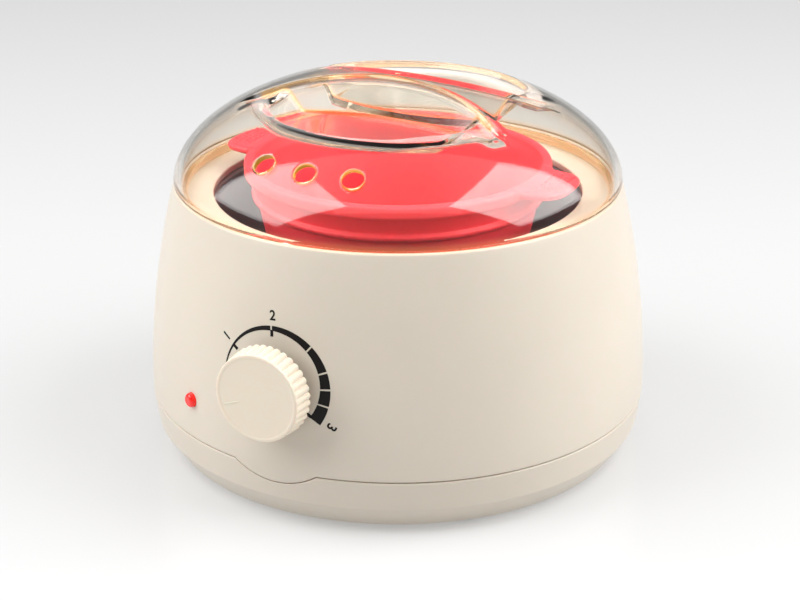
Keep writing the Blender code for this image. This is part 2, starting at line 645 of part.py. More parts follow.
def make_knob():
    axis = bpy.data.objects.new("knob_axis", None)
    PARTS.objects.link(axis)
    axis.location = (0, 0, KNOB_Z)
    axis.rotation_euler = (math.radians(90), 0, 0)

    cavity = KNOB_FACE_Y - KNOB_FACE_THICK
    bore = SHAFT_R + GAP
    knob = turned("knob", [
        (0, KNOB_FACE_Y), (KNOB_FACE_R - 1.2 * MM, KNOB_FACE_Y), (KNOB_FACE_R, KNOB_FACE_Y - MM),
        (KNOB_SKIRT_R, KNOB_BACK_Y), (KNOB_SKIRT_R - 1.8 * MM, KNOB_BACK_Y), (KNOB_FACE_R - 2.0 * MM, cavity),
        (KNOB_BOSS_R, cavity), (KNOB_BOSS_R, KNOB_BOSS_Y), (bore, KNOB_BOSS_Y), (bore, cavity), (0, cavity)],
        IVORY, KNOB_RIBS)
    knob.parent = axis
    lean = math.atan2(KNOB_SKIRT_R - KNOB_FACE_R, KNOB_FACE_Y - KNOB_BACK_Y)
    grooves = bpy.data.meshes.new("rib_grooves")
    bm = bmesh.new()
    for i in range(KNOB_RIBS):
        corner = bmesh.ops.create_cube(bm, size=1.0)["verts"]
        bmesh.ops.scale(bm, vec=RIB_GROOVE, verts=corner)
        bmesh.ops.rotate(bm, matrix=Matrix.Rotation(-lean, 3, "Y"), verts=corner)
        bmesh.ops.translate(bm, vec=(KNOB_SKIRT_R, 0, KNOB_BACK_Y + 2 * MM), verts=corner)
        turn = Matrix.Rotation((i + 0.5) * math.tau / KNOB_RIBS, 3, "Z")
        bmesh.ops.rotate(bm, matrix=turn, verts=corner)
    bm.to_mesh(grooves)
    bm.free()
    groove_cutter = add_object("rib_grooves", grooves, None)
    groove_cutter.parent = axis
    pointer = box("pointer_groove", (-POINTER_WIDTH / 2, POINTER_R[0], KNOB_FACE_Y - POINTER_DEPTH),
                  (POINTER_WIDTH / 2, POINTER_R[1], KNOB_FACE_Y + MM), turn=-KNOB_REST_ANGLE)
    pointer.parent = axis
    cut(knob, groove_cutter, pointer)

    shaft = turned("knob_shaft", [
        (0, cavity - GAP), (SHAFT_R - 0.4 * MM, cavity - GAP), (SHAFT_R, cavity - 0.8 * MM),
        (SHAFT_R, SHAFT_SHOULDER_Y), (SHAFT_TIP_R, SHAFT_SHOULDER_Y), (SHAFT_TIP_R, SHAFT_TIP_Y),
        (0, SHAFT_TIP_Y)], STEEL, 20)
    shaft.parent = axis


def make_thermostat():
    """A bimetal switch behind the front wall: the shaft's tip presses on the front blade."""
    bore = SHAFT_R + GAP
    flange_y = (83.4 * MM, 84.4 * MM)
    back_y = 81.2 * MM
    end_y = 92.6 * MM
    turned("thermostat_bushing", [
        (BUSHING_R - 0.4 * MM, end_y), (BUSHING_R, end_y - 0.4 * MM), (BUSHING_R, flange_y[1]),
        (BUSHING_FLANGE_R, flange_y[1]), (BUSHING_FLANGE_R, flange_y[0]), (BUSHING_R, flange_y[0]),
        (BUSHING_R, back_y), (bore, back_y), (bore, end_y)],
        BRASS, 20, location=(0, 0, KNOB_Z), direction=(0, -1, 0), closed=True)
    hex_nut("bushing_nut", (0, -91.6 * MM, KNOB_Z), (0, -89.3 * MM, KNOB_Z),
            BUSHING_NUT_R, BUSHING_R + GAP, STEEL)

    shelf_z = (32.7 * MM, 33.7 * MM)
    plate = box("thermostat_bracket", (-BRACKET_HALF, BRACKET_Y[0], STACK_Z[0]),
                (BRACKET_HALF, BRACKET_Y[1], 58 * MM), STEEL)
    join(plate, box("bracket_shelf", (-BRACKET_HALF, -82.6 * MM, shelf_z[0]),
                    (BRACKET_HALF, -73 * MM, shelf_z[1])),
         box("bracket_bend", (-BRACKET_HALF, BRACKET_Y[0], shelf_z[0]),
             (BRACKET_HALF, BRACKET_Y[1], STACK_Z[0] + MM)))
    cut(plate, cylinder("bracket_hole", (0, -90 * MM, KNOB_Z), (0, -80 * MM, KNOB_Z), BUSHING_R + GAP))
    stack = box("thermostat_stack", (-STACK_HALF, STACK_Y[0], STACK_Z[0]),
                (STACK_HALF, STACK_Y[1], STACK_Z[1]), CERAMIC, bevel=0.5 * MM)
    tail_hole = box("shelf_slot", (-3.2 * MM, -80.6 * MM, 30 * MM), (3.2 * MM, -74.9 * MM, 35 * MM))
    cut(plate, tail_hole)

    half = BLADE_THICK / 2
    slot_half = half + GAP
    for name, y, contact_y in (("front", -79.5 * MM, -77.9 * MM), ("rear", -76.0 * MM, -77.6 * MM)):
        blade = box(f"thermostat_blade_{name}", (-BLADE_HALF, y - half, BLADE_Z[0]),
                    (BLADE_HALF, y + half, BLADE_Z[1]), BRASS)
        join(blade, cylinder(f"contact_{name}", (0, y, CONTACT_Z), (0, contact_y, CONTACT_Z),
                             CONTACT_R, sides=12))
        cut(stack, box(f"blade_slot_{name}", (-BLADE_HALF - GAP, y - slot_half, 30 * MM),
                       (BLADE_HALF + GAP, y + slot_half, 50 * MM)))


# ---------------------------------------------------------------- indicator lamp

def make_lamp():
    outward = around(LAMP_AZIMUTH, 1, 0)
    foot = Vector((0, 0, LAMP_Z))
    dome = [(r, LAMP_TIP_R - LAMP_R + z) for r, z in arc((0, 0), LAMP_R, 90, 0, 4)]
    dome[0] = (0, LAMP_TIP_R)
    turned("indicator_lens", [
        *dome, (LAMP_R, LAMP_FLANGE[1]), (LAMP_FLANGE_R, LAMP_FLANGE[1]), (LAMP_FLANGE_R, LAMP_FLANGE[0]),
        (0, LAMP_FLANGE[0])], RED_LENS, 16, location=foot, direction=outward)
    ring("indicator_holder", LAMP_R + GAP, LAMP_HOLDER_R, *LAMP_HOLDER, GREY_PLASTIC, 16,
         location=foot, direction=outward)

    lead = 0.35                    # a lead's thickness as a share of the resistor's body
    route = [
        (80.3 * MM, LAMP_Z, lead), (78.0 * MM, LAMP_Z, lead), (77.2 * MM, LAMP_Z + 1.2 * MM, lead),
        (RESISTOR_RING, 38 * MM, lead), (RESISTOR_RING, 40 * MM, lead), (RESISTOR_RING, 40.8 * MM, 1),
        (RESISTOR_RING, 46.2 * MM, 1), (RESISTOR_RING, 47 * MM, lead), (RESISTOR_RING, 49 * MM, lead),
    ]
    wire("indicator_resistor", [around(LAMP_AZIMUTH, radius, z) for radius, z, _ in route],
         RESISTOR_TAN, RESISTOR_R, radii=[share for _, _, share in route])


# ---------------------------------------------------------------- wiring

def make_wiring():
    half = TERMINAL_SIZE[0] / 2 + GAP + 0.2 * MM
    heater_mid = WELL_R + WELL_THICK + GAP + HEATER_THICK / 2
    wire("wire_terminal_to_thermostat", smooth_route([
        (half, 66 * MM, 8 * MM), (17 * MM, 68 * MM, 9 * MM), around(162, 75 * MM, 20 * MM),
        around(158, WIRE_RING, 40 * MM), around(150, WIRE_RING, 60 * MM), around(125, WIRE_RING, 64 * MM),
        around(85, WIRE_RING, 64 * MM), around(45, WIRE_RING, 62 * MM), around(22, WIRE_RING, 56 * MM),
        around(14, 78 * MM, 40 * MM), around(7, 79 * MM, 28 * MM), around(2, 79.5 * MM, 25.2 * MM),
        (0, -79.5 * MM, 26.6 * MM), (0, -79.5 * MM, 29.1 * MM)], 2))
    wire("wire_thermostat_to_fuse", smooth_route([
        (0, -76 * MM, 29.1 * MM), (0, -75.8 * MM, 27.6 * MM), (-1 * MM, -73 * MM, 27.0 * MM),
        (-6 * MM, -62 * MM, 29.5 * MM), (-13 * MM, -40 * MM, 30 * MM), (-15 * MM, -27 * MM, 30.5 * MM),
        (-12.5 * MM, -20.8 * MM, 31.6 * MM), (-7.9 * MM, -20 * MM, 31.8 * MM)], 2))
    wire("wire_fuse_to_heater", smooth_route([
        (7.9 * MM, -20 * MM, 31.8 * MM), (13 * MM, -21 * MM, 31.4 * MM), (20 * MM, -30 * MM, 30.5 * MM),
        around(35, 55 * MM, 30.5 * MM), around(35, 64 * MM, 31.5 * MM), around(35, heater_mid, 36 * MM),
        around(35, heater_mid, 41.6 * MM)], 2))
    wire("wire_heater_to_terminal", smooth_route([
        around(-150, heater_mid, 41.6 * MM), around(-151, heater_mid, 36 * MM),
        around(-156, 69 * MM, 24 * MM),
        around(-164, 69 * MM, 12 * MM), (-half, 66 * MM, 8 * MM)], 2))
    wire("wire_terminal_to_lamp", smooth_route([
        (-half, 70.5 * MM, 10.5 * MM), (-17 * MM, 73 * MM, 12 * MM), around(-163, 78 * MM, 22 * MM),
        around(-158, WIRE_RING, 42 * MM), around(-148, WIRE_RING, 60 * MM), around(-120, WIRE_RING, 63 * MM),
        around(-80, WIRE_RING, 63 * MM), around(-45, WIRE_RING, 62 * MM), around(-28, 77 * MM, 58 * MM),
        around(LAMP_AZIMUTH, 77 * MM, 54 * MM), around(LAMP_AZIMUTH, 77 * MM, 49.4 * MM)], 2))


# ---------------------------------------------------------------- bowl

def make_bowl():
    foot_z = WELL_FLOOR_Z + GAP
    corner_center = (BOWL_FOOT_R - BOWL_CORNER_R, foot_z + BOWL_CORNER_R)
    wall_in = BOWL_RIM_R - BOWL_RIM_WIDTH
    neck_z = BOWL_COLLAR_Z - 0.6 * MM
    outside = [
        (wall_in, BOWL_TOP_Z - 0.6 * MM), (wall_in + BOWL_RIM_ROUND, BOWL_TOP_Z),
        (BOWL_RIM_R - BOWL_RIM_ROUND, BOWL_TOP_Z), (BOWL_RIM_R, BOWL_TOP_Z - BOWL_RIM_ROUND),
        (BOWL_RIM_R, BOWL_COLLAR_Z), (BOWL_NECK_R, neck_z)]
    outside += arc(corner_center, BOWL_CORNER_R, 0, -90, 3)
    inside = arc(corner_center, BOWL_CORNER_R - BOWL_THICK, -90, 0, 3)
    inside.append((BOWL_NECK_R - BOWL_THICK, neck_z))
    bowl = turned("silicone_bowl", [*outside, (0, foot_z), (0, foot_z + BOWL_THICK), *inside],
                  CORAL, WELL_SIDES, closed=True)
    for name, side in (("left", -1), ("right", 1)):
        x = sorted((side * (BOWL_RIM_R - 2 * MM), side * TAB_REACH))
        tab = box(f"tab_{name}", (x[0], -TAB_WIDTH / 2, TAB_Z[0]), (x[1], TAB_WIDTH / 2, TAB_Z[1]))
        edge = tab.modifiers.new("Bevel", "BEVEL")
        edge.width = TAB_BEVEL
        edge.segments = 3
        edge.limit_method = "WEIGHT"
        weights = tab.data.attributes.new("bevel_weight_edge", "FLOAT", "EDGE")
        for i, e in enumerate(tab.data.edges):
            a, b = (tab.data.vertices[v].co for v in e.vertices)
            upright = abs(a.x - b.x) < MM and abs(a.y - b.y) < MM
            weights.data[i].value = 1.0 if upright and abs(a.x) > BOWL_RIM_R else 0.0
        join(bowl, tab)


# ---------------------------------------------------------------- lid

def dome_profile(top, foot, reach, end_r, steps):
    """Profile of a dome from its top down to a radius, with its points closer together near the foot."""
    points = [(0, top)]
    for i in range(1, steps + 1):
        radius = end_r * math.sin(math.pi / 2 * i / steps) if i < steps else end_r
        points.append((radius, lid_height(radius, top, foot, reach)))
    return points


def make_recess(name, side, grow):
    """The finger recess on one side of the grip; grow widens it to leave the lid's wall beneath."""
    floor = RECESS_FLOOR_Z - grow
    well = cylinder(name, (0, 0, floor), (0, 0, LID_TOP_Z + 12 * MM), RECESS_R + grow, sides=36,
                    end_radius=RECESS_R + grow + RECESS_FLARE)
    center_y = side * (GRIP_HALF + GRIP_ARC_R)
    arc_side = cylinder(name + "_arc", (0, center_y, floor - 20 * MM), (0, center_y, LID_TOP_Z + 30 * MM),
                        GRIP_ARC_R + grow, sides=72)
    boolean(well, arc_side, "INTERSECT")
    return well


def make_lid():
    step_z = RIM_Z + GAP / 2
    outer = dome_profile(LID_TOP_Z, RIM_Z, RIM_R, RIM_R, 9)
    outer[-1] = (RIM_R, step_z)
    lid = turned("lid", [*outer, (SKIRT_R, step_z), (SKIRT_R, SKIRT_LOW_Z), (0, SKIRT_LOW_Z)],
                 CLEAR, LID_SIDES)
    skirt_in = SKIRT_R - SKIRT_WALL
    reach_in = RIM_R - LID_THICK - 0.3 * MM
    inner = dome_profile(LID_TOP_Z - LID_THICK, RIM_Z, reach_in, reach_in - 0.8 * MM, 7)
    hollow = turned("lid_hollow", [*inner, (skirt_in, step_z - 1.5 * MM), (skirt_in, SKIRT_LOW_Z - 2 * MM),
                                   (0, SKIRT_LOW_Z - 2 * MM)], sides=LID_SIDES)
    cut(hollow, make_recess("recess_wall_front", -1, LID_THICK),
        make_recess("recess_wall_rear", 1, LID_THICK))
    cut(lid, make_recess("recess_front", -1, 0), make_recess("recess_rear", 1, 0), hollow)
    for i, azimuth in enumerate(LID_VENT_AZIMUTHS, 1):
        outside = lid_height(LID_VENT_RING, LID_TOP_Z, RIM_Z, RIM_R)
        slope = (lid_height(LID_VENT_RING + MM, LID_TOP_Z, RIM_Z, RIM_R) - outside) / MM
        normal = Vector((-slope, 0, 1)).normalized()
        start = around(azimuth, LID_VENT_RING - 8 * MM * normal.x, outside - 8 * MM * normal.z)
        end = around(azimuth, LID_VENT_RING + 8 * MM * normal.x, outside + 8 * MM * normal.z)
        cut(lid, cylinder(f"lid_vent_{i}", start, end, LID_VENT_R, sides=20))


make_housing()
make_base()
make_base_hardware()
make_well()
make_heater()
make_fuse()
make_knob()
make_thermostat()
make_lamp()
make_wiring()
make_bowl()
make_lid()
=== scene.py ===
import itertools
import math

import bmesh
import bpy
import numpy as np
from mathutils import Matrix, Vector


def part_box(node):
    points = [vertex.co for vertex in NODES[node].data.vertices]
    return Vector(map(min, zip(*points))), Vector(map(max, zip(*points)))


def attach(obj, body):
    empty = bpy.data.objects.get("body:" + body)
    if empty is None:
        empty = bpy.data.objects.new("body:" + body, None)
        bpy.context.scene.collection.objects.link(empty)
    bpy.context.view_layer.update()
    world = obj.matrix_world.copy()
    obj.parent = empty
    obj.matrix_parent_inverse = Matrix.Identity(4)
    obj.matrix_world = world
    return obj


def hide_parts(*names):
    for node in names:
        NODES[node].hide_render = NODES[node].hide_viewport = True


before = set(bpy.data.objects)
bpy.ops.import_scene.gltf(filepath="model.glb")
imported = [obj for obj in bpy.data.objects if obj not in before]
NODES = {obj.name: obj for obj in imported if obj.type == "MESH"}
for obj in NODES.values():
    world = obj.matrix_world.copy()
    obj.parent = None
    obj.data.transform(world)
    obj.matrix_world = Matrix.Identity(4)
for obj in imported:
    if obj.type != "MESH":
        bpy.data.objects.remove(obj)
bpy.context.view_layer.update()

MM = 0.001

# ---------------------------------------------------------------- sizes, read from the frame

HOUSING_LOW, HOUSING_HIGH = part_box("outer_housing")
WELL_LOW, WELL_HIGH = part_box("heating_well")
BOWL_LOW, BOWL_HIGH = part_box("silicone_bowl")
LID_LOW, LID_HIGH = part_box("lid")
KNOB_LOW, KNOB_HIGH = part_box("knob")
LENS_LOW, LENS_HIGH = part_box("indicator_lens")
GROMMET_LOW, GROMMET_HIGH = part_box("cord_grommet")

GAP = 0.3 * MM
WALL = 2.5 * MM

# Body: the wall is upright at the seam and leans in towards the rim
BODY_R = HOUSING_HIGH.x
RIM_Z = HOUSING_HIGH.z + GAP / 2
RIM_R = LID_HIGH.x
SEAM_Z = 19.2 * MM
BODY_CURVE = 1.9
FOOT_BAND_Z = 8.3 * MM
FOOT_BAND_R = BODY_R - 1.5 * MM
UNDERSIDE_R = BODY_R - 7.1 * MM
TONGUE_LOW_Z = HOUSING_LOW.z - GAP / 2
TONGUE_R = 27.0 * MM
DECK_Z = RIM_Z - 4.1 * MM
DECK_THICK = 2.4 * MM
DECK_OPENING_R = 65.4 * MM
RIM_INNER_R = 77.0 * MM

# Knob and dial, about the knob's axis
KNOB_Z = (KNOB_LOW.z + KNOB_HIGH.z) / 2
KNOB_FACE_Y = -KNOB_LOW.y
KNOB_BACK_Y = -KNOB_HIGH.y + 1.2 * MM      # the skirt stops short of the CAD knob's back
KNOB_SKIRT_R = KNOB_HIGH.x - 0.8 * MM
KNOB_HOLLOW_Y = KNOB_FACE_Y - 2 * MM
KNOB_BOSS_R = 5.2 * MM
KNOB_BOSS_Y = 93.0 * MM
KNOB_BORE_R = 3.2 * MM
BUSHING_HOLE_R = 4.9 * MM
KNOB_FACE_R = 15.3 * MM
KNOB_RIBS = 36
KNOB_RIB_DEPTH = 0.75 * MM
KNOB_REST_ANGLE = -110
DIAL_OUTER_R = 20.1 * MM

LAMP_AZIMUTH = -24.2
LAMP_Z = (LENS_LOW.z + LENS_HIGH.z) / 2
LAMP_R = 2.5 * MM
LAMP_TIP_R = 91.4 * MM
LAMP_BACK_R = 80.6 * MM
LAMP_FLANGE_R = 2.9 * MM
LAMP_FLANGE = 1.4 * MM

# Underside
CORNER_AZIMUTHS = (45, 135, 225, 315)
BASE_VENTS = 12
BASE_VENT_WIDTH = 3 * MM
BASE_VENT_R = (32 * MM, 44 * MM)
SCREW_RING_R = 76.5 * MM
SCREW_WELL_R = 3.7 * MM
FOOT_RING_R = 62 * MM
FOOT_POCKET_R = 6.8 * MM
INLET_Z = (GROMMET_LOW.z + GROMMET_HIGH.z) / 2
INLET_R = 4.2 * MM

# Lid
LID_TOP_Z = LID_HIGH.z
LID_RISE = 1.96
LID_BULGE = 0.52
LID_THICK = 2.3 * MM
SKIRT_R = 76.6 * MM
SKIRT_LOW_Z = LID_LOW.z
GRIP_ARC_R = 79.1 * MM
GRIP_HALF = 4.3 * MM
RECESS_R = 48.3 * MM
RECESS_FLOOR_Z = 117.0 * MM
RECESS_RISE = 4.4 * MM             # how far the floor climbs from the grip to the rim
RECESS_LEDGE_X = 31 * MM
RECESS_LEDGE_RUN = 7 * MM
RECESS_LEDGE_DROP = 1.7 * MM
RECESS_PINCH = 1.6 * MM
GATE_R = 1.3 * MM
GATE_RISE = 0.7 * MM
LID_VENT_R = 3.7 * MM
LID_VENT_RING = 65.7 * MM
LID_VENT_AZIMUTHS = (-14.6, 0, 14.7)


# ---------------------------------------------------------------- points and outlines

def around(azimuth, radius, height):
    """A point at an azimuth from the front, a radius from the body's axis and a height."""
    angle = math.radians(azimuth)
    return Vector((radius * math.sin(angle), -radius * math.cos(angle), height))


def smooth_step(value):
    value = np.clip(value, 0, 1)
    return value * value * (3 - 2 * value)


def smooth_max(a, b, blend):
    share = np.clip(0.5 + 0.5 * (a - b) / blend, 0, 1)
    return b + (a - b) * share + blend * share * (1 - share)


def smooth_min(a, b, blend):
    return -smooth_max(-a, -b, blend)


def rounded(corners, steps=5):
    """An outline whose corners are (radius, height) or (radius, height, fillet); a fillet becomes an arc."""
    points = []
    for i, corner in enumerate(corners):
        here = Vector(corner[:2])
        fillet = corner[2] if len(corner) > 2 else 0
        if not fillet:
            points.append(here)
            continue
        before = Vector(corners[i - 1][:2]) - here
        after = Vector(corners[(i + 1) % len(corners)][:2]) - here
        half = before.angle(after) / 2
        reach = min(fillet / math.tan(half), 0.48 * before.length, 0.48 * after.length)
        radius = reach * math.tan(half)
        center = here + (before.normalized() + after.normalized()).normalized() * radius / math.sin(half)
        first = here + before.normalized() * reach - center
        last = here + after.normalized() * reach - center
        turn = first.angle_signed(last)
        for k in range(steps + 1):
            # angle_signed counts clockwise, so the turn is negated
            angle = -turn * k / steps
            points.append(center + Vector((first.x * math.cos(angle) - first.y * math.sin(angle),
                                           first.x * math.sin(angle) + first.y * math.cos(angle))))
    return points


def between(start, end, steps):
    """Values from start to end, without the two ends."""
    return [start + (end - start) * i / steps for i in range(1, steps)]


# ---------------------------------------------------------------- mesh makers

def new_piece(name, mesh, body, material, replaces=()):
    obj = bpy.data.objects.new(name, mesh)
    bpy.context.scene.collection.objects.link(obj)
    mesh.materials.append(material)
    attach(obj, body)
    if replaces:
        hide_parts(*replaces)
    return obj


def mesh_from(name, points, faces, smooth_angle=40):
    mesh = bpy.data.meshes.new(name)
    mesh.from_pydata([tuple(p) for p in points], [], faces)
    bm = bmesh.new()
    bm.from_mesh(mesh)
    bmesh.ops.remove_doubles(bm, verts=bm.verts, dist=0.001 * MM)
    bmesh.ops.delete(bm, geom=[edge for edge in bm.edges if not edge.link_faces], context="EDGES")
    bmesh.ops.recalc_face_normals(bm, faces=bm.faces)
    bm.to_mesh(mesh)
    bm.free()
    mesh.shade_smooth()
    if smooth_angle:
        mesh.set_sharp_from_angle(angle=math.radians(smooth_angle))
    return mesh


def shell(name, azimuths, outline, closed=True, smooth_angle=40):
    """A mesh round +Z, with one outline of (radius, height) points for each azimuth."""
    columns = [outline(azimuth) for azimuth in azimuths]
    rows = len(columns[0])
    points = [around(azimuth, *point) for azimuth, column in zip(azimuths, columns) for point in column]
    faces = []
    for i in range(len(columns)):
        here = i * rows
        there = (i + 1) % len(columns) * rows
        for k in range(rows if closed else rows - 1):
            after = (k + 1) % rows
            faces.append((here + k, here + after, there + after, there + k))
    return mesh_from(name, points, faces, smooth_angle)


def even_azimuths(count):
    return [360 * i / count for i in range(count)]


def lathe(name, corners, count=96, steps=5, closed=True, smooth_angle=40):
    outline = rounded(corners, steps)
    return shell(name, even_azimuths(count), lambda azimuth: outline, closed, smooth_angle)


def aimed(direction, location=(0, 0, 0)):
    """The matrix that stands a mesh's +Z along a direction."""
    turn = Vector(direction).to_track_quat("Z", "Y").to_matrix().to_4x4()
    return Matrix.Translation(location) @ turn


def level_surface(name, distance, low, high, step):
    """A mesh of the surface where a distance function of x, y and z is zero, by the surface-nets method."""
    axes = [np.arange(low[k], high[k] + step, step) for k in range(3)]
    value = distance(*np.meshgrid(*axes, indexing="ij"))
    inside = value < 0
    cells_shape = tuple(n - 1 for n in inside.shape)
    filled = np.zeros(cells_shape, np.int8)
    for corner in itertools.product((0, 1), repeat=3):
        filled += inside[tuple(slice(c, c + n) for c, n in zip(corner, cells_shape))]
    mixed = (filled > 0) & (filled < 8)
    index = np.full(cells_shape, -1, np.int64)
    index[mixed] = np.arange(mixed.sum())
    cells = np.argwhere(mixed)

    total = np.zeros((len(cells), 3))
    crossings = np.zeros(len(cells))
    for axis in range(3):
        along = np.eye(3, dtype=int)[axis]
        for a, b in itertools.product((0, 1), repeat=2):
            start = cells + a * np.roll(along, 1) + b * np.roll(along, 2)
            first = value[tuple(start.T)]
            second = value[tuple((start + along).T)]
            crosses = (first < 0) != (second < 0)
            share = np.where(crosses, first / np.where(crosses, first - second, 1), 0)
            total[crosses] += (start + share[:, None] * along)[crosses]
            crossings += crosses
    points = np.array([a[0] for a in axes]) + total / crossings[:, None] * step

    faces = []
    for axis in range(3):
        along = np.eye(3, dtype=int)[axis]
        u = np.roll(along, 1)
        v = np.roll(along, 2)
        ends = np.argwhere(np.diff(inside.astype(np.int8), axis=axis) != 0)
        ends = ends[((ends - u - v) >= 0).all(axis=1) & (ends < cells_shape).all(axis=1)]
        quads = np.stack([index[tuple((ends - shift).T)] for shift in (0 * u, u, u + v, v)], axis=1)
        leaving = inside[tuple(ends.T)]
        faces.append(np.where(leaving[:, None], quads, quads[:, ::-1]))
    faces = np.concatenate(faces)

    nudge = 0.01 * MM
    for _ in range(6):
        here = distance(*points.T)
        slope = np.stack([
            (distance(*(points + nudge * e).T) - distance(*(points - nudge * e).T)) / (2 * nudge)
            for e in np.eye(3)], axis=1)
        shift = here / np.maximum((slope ** 2).sum(axis=1), 0.05)
        points = points - np.clip(shift, -step, step)[:, None] * slope
    mesh = bpy.data.meshes.new(name)
    mesh.from_pydata(points.tolist(), [], faces.tolist())
    mesh.shade_smooth()
    return mesh


def cut_with(piece, cutters):
    """Cuts meshes out of a piece and removes them."""
    bm = bmesh.new()
    for cutter in cutters:
        bm.from_mesh(cutter)
        bpy.data.meshes.remove(cutter)
    joined = bpy.data.meshes.new("cutter")
    bm.to_mesh(joined)
    bm.free()
    tool = bpy.data.objects.new("cutter", joined)
    bpy.context.scene.collection.objects.link(tool)
    modifier = piece.modifiers.new("Cut", "BOOLEAN")
    modifier.operation = "DIFFERENCE"
    modifier.solver = "EXACT"
    modifier.object = tool
    bpy.context.view_layer.update()
    evaluated = piece.evaluated_get(bpy.context.evaluated_depsgraph_get())
    result = bpy.data.meshes.new_from_object(evaluated)
    piece.modifiers.remove(modifier)
    piece.data = result
    result.set_sharp_from_angle(angle=math.radians(35))
    bpy.data.objects.remove(tool)
    bpy.data.meshes.remove(joined)
    return piece


def bar_mesh(start, end, radius, count=48):
    """A plain round cutter from one point to another."""
    start = Vector(start)
    end = Vector(end)
    length = (end - start).length
    mesh = lathe("bar", [(0, length), (radius, length), (radius, 0), (0, 0)], count, closed=False)
    mesh.transform(aimed(end - start, start))
    return mesh


def box_mesh(low, high, turn=0.0):
    mesh = bpy.data.meshes.new("box")
    bm = bmesh.new()
    bmesh.ops.create_cube(bm, size=1.0)
    bmesh.ops.scale(bm, vec=Vector(high) - Vector(low), verts=bm.verts)
    bmesh.ops.translate(bm, vec=(Vector(high) + Vector(low)) / 2, verts=bm.verts)
    bmesh.ops.rotate(bm, matrix=Matrix.Rotation(math.radians(turn), 3, "Z"), verts=bm.verts)
    bm.to_mesh(mesh)
    bm.free()
    return mesh


# ---------------------------------------------------------------- materials

class Surface:
    """A Principled material with helpers for the noise that varies it."""

    def __init__(self, name, color, roughness, metallic=0.0, **sockets):
        self.material = bpy.data.materials.new(name)
        self.material.use_nodes = True
        self.tree = self.material.node_tree
        self.shader = self.tree.nodes["Principled BSDF"]
        self.shader.inputs["Base Color"].default_value = (*color, 1.0)
        self.shader.inputs["Roughness"].default_value = roughness
        self.shader.inputs["Metallic"].default_value = metallic
        for socket, value in sockets.items():
            self.shader.inputs[socket.replace("_", " ")].default_value = value
        self.color = color
        self.roughness = roughness
        self.place = self.tree.nodes.new("ShaderNodeTexCoord").outputs["Object"]

    def stretched(self, scale):
        mapping = self.tree.nodes.new("ShaderNodeMapping")
        mapping.inputs["Scale"].default_value = scale
        self.tree.links.new(self.place, mapping.inputs["Vector"])
        return mapping.outputs["Vector"]

    def noise(self, scale, detail=2.0, place=None, rough=0.5):
        node = self.tree.nodes.new("ShaderNodeTexNoise")
        node.inputs["Scale"].default_value = scale
        node.inputs["Detail"].default_value = detail
        node.inputs["Roughness"].default_value = rough
        self.tree.links.new(place or self.place, node.inputs["Vector"])
        return node.outputs["Fac"]

    def ranged(self, value, low, high, start=0.3, end=0.7):
        node = self.tree.nodes.new("ShaderNodeMapRange")
        node.inputs["From Min"].default_value = start
        node.inputs["From Max"].default_value = end
        node.inputs["To Min"].default_value = low
        node.inputs["To Max"].default_value = high
        self.tree.links.new(value, node.inputs["Value"])
        return node.outputs["Result"]

    def vary_color(self, value, other):
        """Mixes towards another colour where the value is high."""
        mix = self.tree.nodes.new("ShaderNodeMix")
        mix.data_type = "RGBA"
        mix.inputs[6].default_value = (*self.color, 1.0)
        mix.inputs[7].default_value = (*other, 1.0)
        self.tree.links.new(value, mix.inputs[0])
        self.tree.links.new(mix.outputs[2], self.shader.inputs["Base Color"])
        return self

    def vary_roughness(self, value, spread):
        result = self.ranged(value, self.roughness - spread, self.roughness + spread)
        self.tree.links.new(result, self.shader.inputs["Roughness"])
        return self

    def bump(self, value, height, strength=1.0):
        node = self.tree.nodes.new("ShaderNodeBump")
        node.inputs["Strength"].default_value = strength
        node.inputs["Distance"].default_value = height
        self.tree.links.new(value, node.inputs["Height"])
        normal = self.shader.inputs["Normal"]
        if normal.is_linked:
            self.tree.links.new(normal.links[0].from_socket, node.inputs["Normal"])
        self.tree.links.new(node.outputs["Normal"], normal)
        return self


def moulded(name, color, roughness, grain=0.02 * MM, grain_scale=2200, tone=0.97, **sockets):
    """Moulded plastic: a fine grain, slow changes of gloss and a little drift in tone."""
    surface = Surface(name, color, roughness, **sockets)
    surface.vary_color(surface.ranged(surface.noise(26, 3), 0, 1), tuple(c * tone for c in color))
    surface.vary_roughness(surface.noise(60, 4), 0.04)
    surface.bump(surface.noise(grain_scale, 2), grain, 0.35)
    return surface


def metal(name, color, roughness, streaks=(400, 400, 60), depth=0.01 * MM):
    """Metal with fine streaks, longest along the axis of the smallest scale."""
    surface = Surface(name, color, roughness, 1.0)
    lines = surface.noise(12, 4, surface.stretched(streaks))
    surface.vary_color(surface.ranged(surface.noise(90, 3), 0, 1), tuple(c * 0.88 for c in color))
    surface.vary_roughness(lines, 0.08)
    surface.bump(lines, depth, 0.4)
    return surface


IVORY = moulded("ivory_plastic", (0.67, 0.60, 0.505), 0.33, IOR=1.53, Subsurface_Weight=0.12,
                Subsurface_Scale=0.002)
KNOB_IVORY = moulded("knob_ivory", (0.80, 0.705, 0.57), 0.42, 0.03 * MM, 1800, IOR=1.53,
                     Subsurface_Weight=0.15, Subsurface_Scale=0.002)
CORAL = moulded("coral_silicone", (0.95, 0.052, 0.075), 0.42, 0.03 * MM, 1500, 0.94, IOR=1.43,
                Subsurface_Weight=0.25, Subsurface_Scale=0.004)
PRINT = moulded("dial_ink", (0.008, 0.006, 0.006), 0.45, 0.01 * MM, 3000, 0.6,
                Specular_IOR_Level=0.2)
RUBBER = moulded("black_rubber", (0.028, 0.028, 0.030), 0.72, 0.05 * MM, 1400, 0.7)
GREY_PLASTIC = moulded("grey_plastic", (0.42, 0.42, 0.43), 0.5)
CERAMIC = moulded("ceramic", (0.84, 0.82, 0.76), 0.6, 0.05 * MM, 1200, 0.92)
